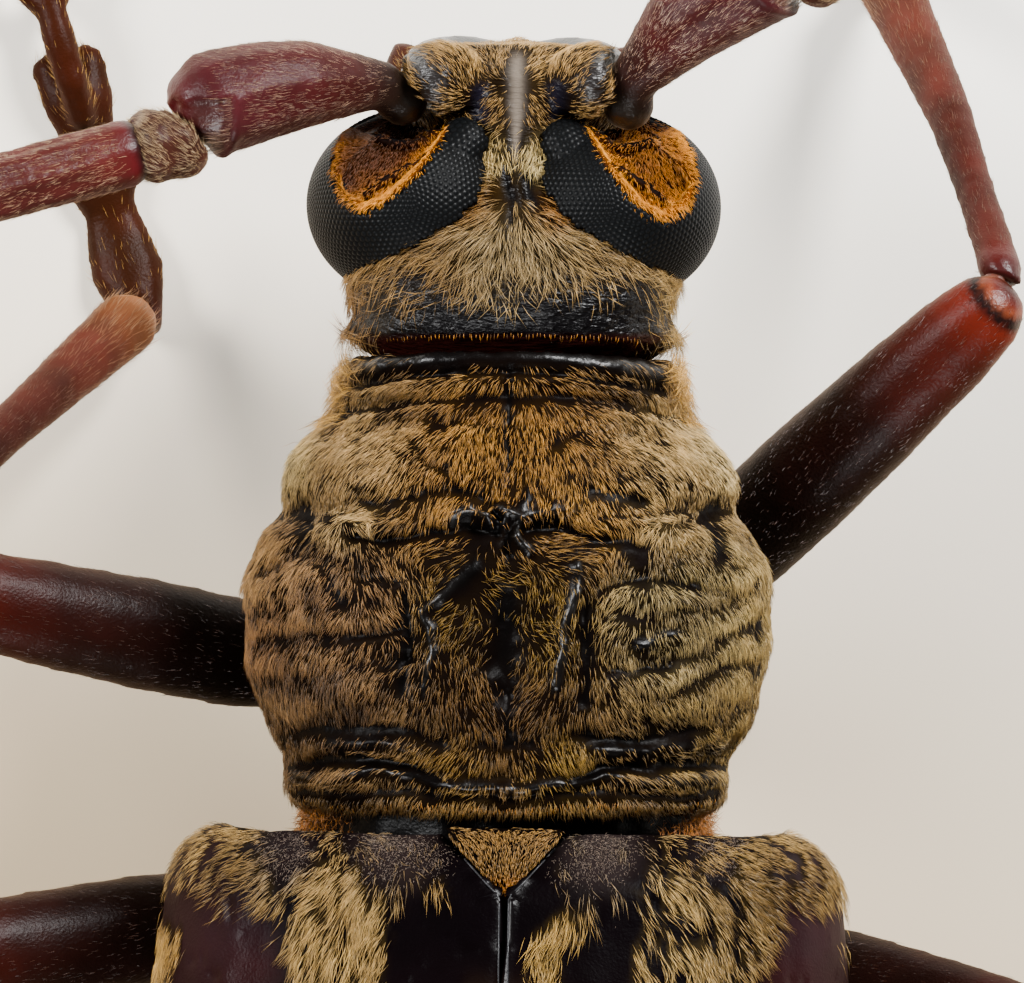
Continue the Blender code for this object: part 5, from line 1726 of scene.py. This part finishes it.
def make_wing_case(side, word, rng):
    """A wing case with its bead, its silky coat and its stubble."""
    name = f"wing_case_{word}"

    def seen(face):
        return face.normal.z > 0.1 and face.calc_center_median().y < WING_FINE_TO

    obj = fine_skin(f"wing_skin_{word}", [name], *GRIDS["wing_case"], seen)
    places, margin = shape_wing(obj, side)
    surface = Surface(obj)
    front, rear, tones = wing_coat(surface.corners, surface.normals)
    colour_skin(obj, *wing_ground(surface, places, margin, front, tones))
    settle(obj, SHELL, [name])
    make_bead(side, word, surface.tree())

    unwrap = round_axis(np.array(WING_AXIS) * (side, 1, 1), (0, 1, 0), *WING_ENDS)
    sets = []
    for kind, wanted in (("wing_front", front), ("wing_rear", rear)):
        down = COATS[kind]
        roots, outs = surface.roots(down.density, wanted, rng)
        ways = wing_ways(side, roots, outs, rng)
        _, _, tones = wing_coat(roots, outs)
        size = 0.55 + 0.45 * step(photo_xy(roots)[:, 1], *WING_LONGER)
        sets.append(hairs(down, roots, outs, ways, tones, unwrap(roots), rng, size))
    front, rear = sets
    hair_mesh(f"coat_wing_{word}", [front, stubble(surface, unwrap, rng)])
    hair_mesh(f"coat_wing_rear_{word}", [rear], bent=False)


def make_scutellum(rng):
    """The small raised plate between the wing cases, its down orange towards the tip."""
    obj = fine_skin("scutellum_skin", ["scutellum"], *GRIDS["scutellum"])
    corners = corners_of(obj.data)
    was = np.interp(corners[:, 1], SCUTELLUM_STATIONS, SCUTELLUM_EDGE_WAS)
    corners[:, 0] *= np.interp(corners[:, 1], SCUTELLUM_STATIONS, SCUTELLUM_EDGE) / was
    corners[:, 2] += SCUTELLUM_LIFT * step(corners[:, 1], *SCUTELLUM_RISES)
    move_corners(obj.data, corners)
    colour_skin(obj, colour("060302"), 0.0)
    surface = Surface(obj)
    settle(obj, SHELL, ["scutellum"])
    ahead, down = surface.corners[:, 1], COATS["scutellum"]
    cover = step(surface.normals[:, 2], 0.0, 0.3) * step(ahead, *SCUTELLUM_HAIRY)
    roots, outs = surface.roots(down.density, cover * (ahead < SCUTELLUM_TIP), rng)
    ways = np.column_stack([-roots[:, 0] * 0.75, np.ones(len(roots)) * 0.8, np.zeros(len(roots))])
    ways += rng.normal(0, 0.12, ways.shape)
    tones = mixed(colour("b08c54"), colour("d08a24"), step(roots[:, 1], 0.55, 0.95))
    unwrap = round_axis(SCUTELLUM_AXIS, (0, 0, 1), *SCUTELLUM_ENDS)
    hair_mesh("coat_scutellum", [hairs(down, roots, outs, ways, tones, unwrap(roots), rng)])


# Each plate's slot, the middle of its unwrap and its ends, in mm.
BELLY_PLATES = (
    ("rear_thorax", "gold_down", (0, 5, 7.5), (-5.2, 5.4)),
    ("abdomen", "dark_shell", (0, 18, 7.4), (-8.6, 9.5)),
)
BELLY_TOP = 8.2


def make_underbody(rng):
    """Rear thorax and abdomen: dark plates under short silky down."""
    down = COATS["underbody"]
    for name, slot, middle, ends in BELLY_PLATES:
        obj = fine_skin(f"{name}_skin", [name], *GRIDS[name])
        corners = corners_of(obj.data)
        raise_by(obj, lumps(corners, "belly_skin"))
        paler = 0.5 + lumps(corners, "belly_ground")
        colour_skin(obj, mixed(colour("0c0605"), colour("1c0d0a"), paler), 0.35)
        surface = Surface(obj)
        settle(obj, SHELL, [name])
        cover = (surface.corners[:, 2] < BELLY_TOP) * (0.7 + lumps(surface.corners, "belly_gaps"))
        roots, outs = surface.roots(down.density, cover, rng)
        ways = lying(TAILWARD, roots, 0.12, rng)
        unwrap = round_axis(middle, (0, 1, 0), *ends)
        lot = hairs(down, roots, outs, ways, all_of("a08a62", roots), unwrap(roots), rng)
        hair_mesh(f"coat_{name}", [lot], bent=False)


# Limbs
# For each kind of link: the colour at shares of its length from its root, how polished it is, how
# many hairs a square mm it has, and their tone and lightness.

Look = namedtuple("Look", "stops polish density tone light")
FEMUR_STOPS = (
    (0, "070303"), (0.3, "120504"), (0.6, "220806"), (0.85, "48120a"), (0.94, "6a1c0e"),
    (0.955, "120404"), (0.97, "120404"), (0.978, "6a3018"), (0.99, "4a120a"), (1, "2a0806"),
)
TIBIA_STOPS = ((0, "300808"), (0.1, "480f0c"), (0.5, "4c130e"), (0.8, "582016"), (1, "7a4820"))
SCAPE_STOPS = (
    (0, "020101"), (0.12, "040202"), (0.2, "22090c"), (0.4, "440e13"), (0.8, "42101a"),
    (0.92, "420c18"), (1, "3c070b"),
)
PEDICEL_STOPS = ((0, "500a0e"), (0.25, "3a1614"), (0.85, "3a1614"), (1, "300608"))
THIRD_STOPS = ((0, "140305"), (0.02, "1c0406"), (0.04, "40080d"), (0.10, "4c0c12"), (1, "46121a"))
LIMB_LOOKS = {
    "coxa": Look(((0, "0a0505"), (1, "0e0605")), 0.3, 60, "8f7a54", 0.5),
    "femur": Look(FEMUR_STOPS, 0.22, 90, "6a4430", 0.45),
    "tibia": Look(TIBIA_STOPS, 0.22, 190, "cc9c74", 0.7),
    "foot": Look(((0, "2a0605"), (1, "340806")), 0.12, 170, "e0b064", 0.8),
    "scape": Look(SCAPE_STOPS, 0.22, 620, "c0a08a", 0.78),
    "pedicel": Look(PEDICEL_STOPS, 0.2, 1100, "c4ac8a", 1.0),
    "link3": Look(THIRD_STOPS, 0.25, 560, "ccae92", 1.1),
    "link": Look(((0, "1c080a"), (0.2, "3c1014"), (1, "3c1814")), 0.3, 80, "b89c70", 0.7),
    "palp": Look(((0, "260c0a"), (1, "4a1c12")), 0.6, 40, "b89c70", 0.8),
}
LIMB_GRIDS = {
    "coxa": 0.17, "femur": 0.13, "tibia": 0.10, "foot": 0.09, "scape": 0.07,
    "pedicel": 0.05, "link3": 0.06, "link": 0.10, "palp": 0.08,
}
# The skin under a limb's hair takes the hair's colour, this much darker, as painted shade under the hair.
SHADED_LIMB_FELT = 0.035
LIMB_SWELLING = {"pedicel": 0.16, "link3": 0.10, "link": 0.04, "scape": 0.02, "foot": 0.05}
LIMB_SMOOTHING = {"femur": 18, "scape": 36, "tibia": 12, "pedicel": 7, "link3": 8, "foot": 9}
PLAIN_SMOOTHING = 5
MEMBRANE_RADII = {
    "femur": 0.36, "tibia": 0.22, "foot": 0.15, "pedicel": 0.20, "link3": 0.20, "link": 0.16,
}
# The hair of the limbs: finer where it is dense, and shaggier on the feet.
DENSE, DENSE_WIDE, SPARSE_WIDE = 200, (0.005, 0.008), (0.007, 0.011)
LIMB_LONG, LIMB_LIFT, FOOT_LONG, FOOT_LIFT = (0.16, 0.30), (3, 12), (0.14, 0.30), (8, 35)
# The tibia's collar, the ribs of a feeler's links and how many, and the cup at the scape's end: how
# high its rim and how deep it is, and where it starts, in shares of the length.
TIBIA_COLLAR, RIB_RISE, RIBS = 0.07, 0.020, 7
CUP_RIM, CUP_DEPTH, CUP_START = 0.05, 0.10, (0.80, 0.85)
CUP_RIM_LINE, CUP_RIM_REACH = ((0.80, 0), (0.801, 0)), 0.025
BALL_SIDES, BALL_RINGS = 20, 12
# Corners this much farther apart than the nearest still count as where two solids meet.
MEETING_SLACK = 0.12
# Points inside the body from which each limb's first link reaches outwards.
LEG_STARTS = (("fore", (0, -2.8, 5)), ("mid", (0, 1.8, 5)), ("hind", (0, 9.7, 5)))
PALP_START = (1.3, -10.5, 6.0)


def solid_corners(name):
    """The corners of a solid, in body millimetres."""
    return np.array([TO_BODY @ v.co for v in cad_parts[name].data.vertices])


def meeting_point(first, second):
    """The point where one solid meets the next, in body millimetres."""
    a, b = solid_corners(first), solid_corners(second)
    apart = np.linalg.norm(a[:, None] - b[None], axis=2)
    near = apart < apart.min() + MEETING_SLACK
    return (a[near.any(axis=1)].mean(axis=0) + b[near.any(axis=0)].mean(axis=0)) / 2


def limb_kind(name):
    """Which kind of link a node is."""
    word = name.split("_")[0] if name.startswith("palp") else name.split("_")[1]
    return word if word in LIMB_LOOKS else "link"


def shades_along(share, stops):
    """The colour at each share of a link's length."""
    at, codes = zip(*stops)
    rows = np.array([colour(code) for code in codes])
    return np.column_stack([np.interp(share, at, rows[:, k]) for k in range(3)])


def joined(pieces, name):
    """The pieces as one object."""
    select_only(pieces[0])
    for piece in pieces:
        piece.select_set(True)
    if len(pieces) > 1:
        bpy.ops.object.join()
    pieces[0].name = name
    return pieces[0]


def limb_down(kind, look):
    """The kind of hair on one kind of link."""
    wide = DENSE_WIDE if look.density > DENSE else SPARSE_WIDE
    long, lift = (FOOT_LONG, FOOT_LIFT) if kind == "foot" else (LIMB_LONG, LIMB_LIFT)
    return Down(look.density, long, wide, lift, light=look.light)


def link_height(kind, corners, share, turn):
    """How far a link's skin stands out: swollen, with a collar on the tibia and ribs on a feeler."""
    height = LIMB_SWELLING.get(kind, 0) * step(share, -0.04, 0.05) * (1 - step(share, 0.95, 1.04))
    height += lumps(corners, "limb_skin")
    if kind == "tibia":
        height += TIBIA_COLLAR * step(share, 0.01, 0.04) * (1 - step(share, 0.08, 0.3))
    if kind in ("link3", "link"):
        ribs = RIB_RISE * np.sin(turn * RIBS)
        height += ribs * step(share, 0.1, 0.25) * (1 - step(share, 0.8, 0.95))
    return height


def colour_link(obj, kind, look, surface, share, ends):
    """A link's colour and polish, with painted shade under its hair; the scape's end is also cut to a
    shiny red cup with a rim.
    """
    ground = shades_along(share, look.stops)
    ground *= (1 + lumps(surface.corners, "limb_ground"))[:, None]
    gloss = look.polish * 0.5 + 0.25 * ends
    if kind == "scape":
        ahead = surface.normals[:, 1]
        cup = step(share, *CUP_START) * step(ahead, -0.15, 0.15)
        rim = near_line(share[:, None] * (1, 0), CUP_RIM_LINE, CUP_RIM_REACH) * (ahead > 0)
        raise_by(obj, CUP_RIM * rim - CUP_DEPTH * cup)
        ground = mixed(ground, colour("3c040a"), 0.9 * cup)
        gloss = gloss + 0.6 * cup + 0.8 * (1 - step(share, 0.08, 0.14))
    shaded_felt = as_hair(colour(look.tone)) * SHADED_LIMB_FELT * look.light
    colour_skin(obj, mixed(ground, shaded_felt, 0.5 * (1 - ends)), np.clip(gloss, 0, 1))


def membrane_ball(radius, place):
    """A ball of membrane in a joint."""
    bpy.ops.object.select_all(action="DESELECT")
    bpy.ops.mesh.primitive_uv_sphere_add(
        segments=BALL_SIDES, ring_count=BALL_RINGS, radius=radius, location=place
    )
    bpy.ops.object.shade_smooth()
    bpy.ops.object.transform_apply(location=True)
    return bpy.context.object


def make_limb(name, chain, start, rng):
    """Skins, membranes and hair of one limb, link by link from its root."""
    skins, sets, balls = [], [], []
    place = np.array(start, float)
    for index, link in enumerate(chain):
        kind = limb_kind(link)
        look = LIMB_LOOKS[kind]
        rounds = LIMB_SMOOTHING.get(kind, PLAIN_SMOOTHING)
        obj = fine_skin(link + "_skin", [link], LIMB_GRIDS[kind], rounds)
        if index:
            place = meeting_point(chain[index - 1], link)
        solid = solid_corners(link)
        middle = solid.mean(axis=0)
        axis = np.linalg.svd(solid - middle, full_matrices=False)[2][0]
        axis *= np.sign((middle - place) @ axis)
        corners, reach = corners_of(obj.data), (solid - middle) @ axis
        along = (corners - middle) @ axis
        full = np.interp(along, (along.min(), along.max()), (reach.min(), reach.max()))
        move_corners(obj.data, corners + (full - along)[:, None] * axis)
        surface = Surface(obj)
        along = (surface.corners - middle) @ axis
        share = (along - along.min()) / (along.max() - along.min())
        band = (index / len(chain), (index + 0.95) / len(chain))
        unwrap = round_axis(middle, axis, along.min(), along.max(), band)
        turn = unwrap(surface.corners)[:, 0] * 2 * math.pi
        raise_by(obj, link_height(kind, surface.corners, share, turn))
        surface = Surface(obj)
        ends = np.maximum(1 - step(share, 0.02, 0.10), step(share, 0.93, 0.98))
        colour_link(obj, kind, look, surface, share, ends)
        skins.append(obj)
        if kind in MEMBRANE_RADII:
            balls.append(membrane_ball(MEMBRANE_RADII[kind], place))
        hairy = (1 - ends) * (0.7 + lumps(surface.corners, "limb_gaps"))
        if kind == "scape":
            hairy = hairy * (1 - step(share, 0.78, 0.9)) * step(share, 0.1, 0.25)
        if kind == "foot":
            hairy = hairy * (1 - 0.85 * step(surface.normals[:, 2], 0.2, 0.7))
        roots, outs = surface.roots(look.density, hairy, rng)
        ways = lying(axis, roots, 0.10, rng)
        tones, size = all_of(look.tone, roots), 1.0
        if kind == "tibia":
            size = 1 + step((roots - middle) @ axis, 0.1 * along.max(), 0.9 * along.max())
            tones = tones * (0.6 * size)[:, None] ** 1.5
        down = limb_down(kind, look)
        sets.append(hairs(down, roots, outs, ways, tones, unwrap(roots), rng, size))
    settle(joined(skins, f"{name}_skin"), LIMB_SHELL, chain)
    if balls:
        settle(joined(balls, f"{name}_membranes"), MEMBRANE)
    hair_mesh(f"coat_{name}", sets, bent=False)


def make_limbs(rng):
    """Legs, feelers and palps of both sides."""
    for side, word in SIDES:
        mirror = (side, 1, 1)
        for pair, start in LEG_STARTS:
            chain = [f"{pair}_{part}_{word}" for part in ("coxa", "femur", "tibia", "foot")]
            make_limb(f"leg_{pair}_{word}", chain, np.array(start) * mirror, rng)
        links = ["scape", "pedicel"] + [f"link{k}" for k in range(3, 12)]
        chain = [f"feeler_{link}_{word}" for link in links]
        make_limb(f"feeler_{word}", chain, np.array(SOCKET_CENTRE) * mirror, rng)
        make_limb(f"palp_{word}", [f"palp_{word}"], np.array(PALP_START) * mirror, rng)


def make_jaws():
    """The mandibles: black, polished and bare."""
    skins = [
        fine_skin(f"mandible_{word}_skin", [f"mandible_{word}"], *GRIDS["mandible"])
        for _, word in SIDES
    ]
    for skin in skins:
        colour_skin(skin, colour("0c0807"), 0.95)
    jaws = joined(skins, "mandibles")
    settle(jaws, SHELL, ["mandible_left", "mandible_right"])


# The soft rings: middle, half width and height, half length and height of the lumps, in mm.
SOFT_RINGS = (
    ("neck", (0, -7.3, 8.4), (1.95, 1.85), 0.6, 0.0),
    ("waist", (0, 0.0, 8.0), (3.2, 2.85), 0.7, 0.16),
)
RING_SIDES = 64
# Where the waist's down grows: how far out, above what height, and how far along the body.
WAIST_BESIDE, WAIST_ABOVE, WAIST_ALONG = (2.2, 3.2), 7.0, 0.45
WAIST_AXIS, WAIST_ENDS = (0, 0, 8.0), (-0.7, 0.7)


def make_neck_and_waist(rng):
    """Soft dark rings where the head enters the prothorax and the prothorax meets the wing cases.

    The waist is lumpy and wet-looking, with orange down at its sides.
    """
    for name, middle, radii, half, rise in SOFT_RINGS:
        bpy.ops.object.select_all(action="DESELECT")
        bpy.ops.mesh.primitive_cylinder_add(
            vertices=RING_SIDES,
            radius=1.0,
            depth=2 * half,
            location=middle,
            rotation=(math.pi / 2, 0, 0),
            scale=(*radii, 1.0),
        )
        bpy.ops.object.transform_apply(location=True, rotation=True, scale=True)
        ring = bpy.context.object
        ring.name = name
        grid, rounds = GRIDS["soft_ring"]
        apply_modifier(ring, "REMESH", mode="VOXEL", voxel_size=grid, use_smooth_shade=True)
        apply_modifier(ring, "SMOOTH", iterations=rounds, factor=0.5)
        raise_by(ring, rise * lumps(corners_of(ring.data), "soft_ring"))
        # Near-black: partly the rings' own colour, partly painted shade of the gaps they fill.
        colour_skin(ring, colour("030202"), 0.12)
        surface = Surface(ring)
        settle(ring, SHELL)
    across, along, above = np.abs(surface.corners.T)
    beside = step(across, *WAIST_BESIDE) * (above > WAIST_ABOVE) * (along < WAIST_ALONG)
    down = COATS["waist"]
    roots, outs = surface.roots(down.density, beside, rng)
    ways = outs + rng.normal(0, 0.5, roots.shape) + (0, 0.2, 0.4)
    unwrap = round_axis(WAIST_AXIS, (0, 1, 0), *WAIST_ENDS)
    fuzz = hairs(down, roots, outs, ways, all_of("b87a30", roots), unwrap(roots), rng)
    hair_mesh("coat_waist", [fuzz])


# Stage, camera and light

FLOOR_SIZE = 3.0
NEAREST_SEEN = 0.01
# Each lamp: its place and width in metres, and its power in watts; all aim at the pronotum.
LAMPS = (
    ("key", (-0.13, -0.16, 0.17), 0.09, 2.3),
    ("fill", (0.19, -0.06, 0.15), 0.09, 1.1),
    ("back", (0.03, 0.22, 0.13), 0.09, 0.7),
)
LAMP_AIM = (0, -0.005, 0.010)


def make_stage():
    """The floor, the camera, the dim room and the lamps."""
    bpy.ops.object.select_all(action="DESELECT")
    bpy.ops.mesh.primitive_plane_add(size=FLOOR_SIZE, location=(0, 0, 0))
    floor = bpy.context.object
    floor.name = "floor"
    floor.data.materials.append(floor_finish())

    camera = bpy.data.objects.new("camera", bpy.data.cameras.new("camera"))
    bpy.context.scene.collection.objects.link(camera)
    camera.data.lens = CAMERA_LENS
    camera.data.sensor_width = CAMERA_SENSOR
    camera.data.clip_start = NEAREST_SEEN
    right, up = camera_ways()
    turn = Matrix((right, up, Vector((0, 0, 1)))).transposed().to_4x4()
    camera.matrix_world = Matrix.Translation(FROM_BODY @ Vector(CAMERA_PLACE)) @ turn
    bpy.context.scene.camera = camera

    world = bpy.data.worlds.new("dim_room")
    world.use_nodes = True
    background = world.node_tree.nodes["Background"]
    background.inputs["Color"].default_value = (*colour("fff6e8"), 1)
    background.inputs["Strength"].default_value = ROOM_LIGHT
    bpy.context.scene.world = world
    for name, place, size, power in LAMPS:
        light = bpy.data.lights.new(name, "AREA")
        light.shape = "DISK"
        light.size = size
        light.energy = power
        lamp = bpy.data.objects.new(name, light)
        bpy.context.scene.collection.objects.link(lamp)
        aim = (Vector(place) - Vector(LAMP_AIM)).to_track_quat("Z", "Y")
        lamp.matrix_world = Matrix.Translation(place) @ aim.to_matrix().to_4x4()
        lamp.visible_camera = False


make_stage()
make_prothorax(np.random.default_rng(1))
head_tree = make_head(np.random.default_rng(2))
facets = facet_net()
for side, word in SIDES:
    make_eye(side, word, facets, head_tree, np.random.default_rng(3))
    make_wing_case(side, word, np.random.default_rng(4))
make_scutellum(np.random.default_rng(5))
make_underbody(np.random.default_rng(6))
make_limbs(np.random.default_rng(7))
make_jaws()
make_neck_and_waist(np.random.default_rng(8))
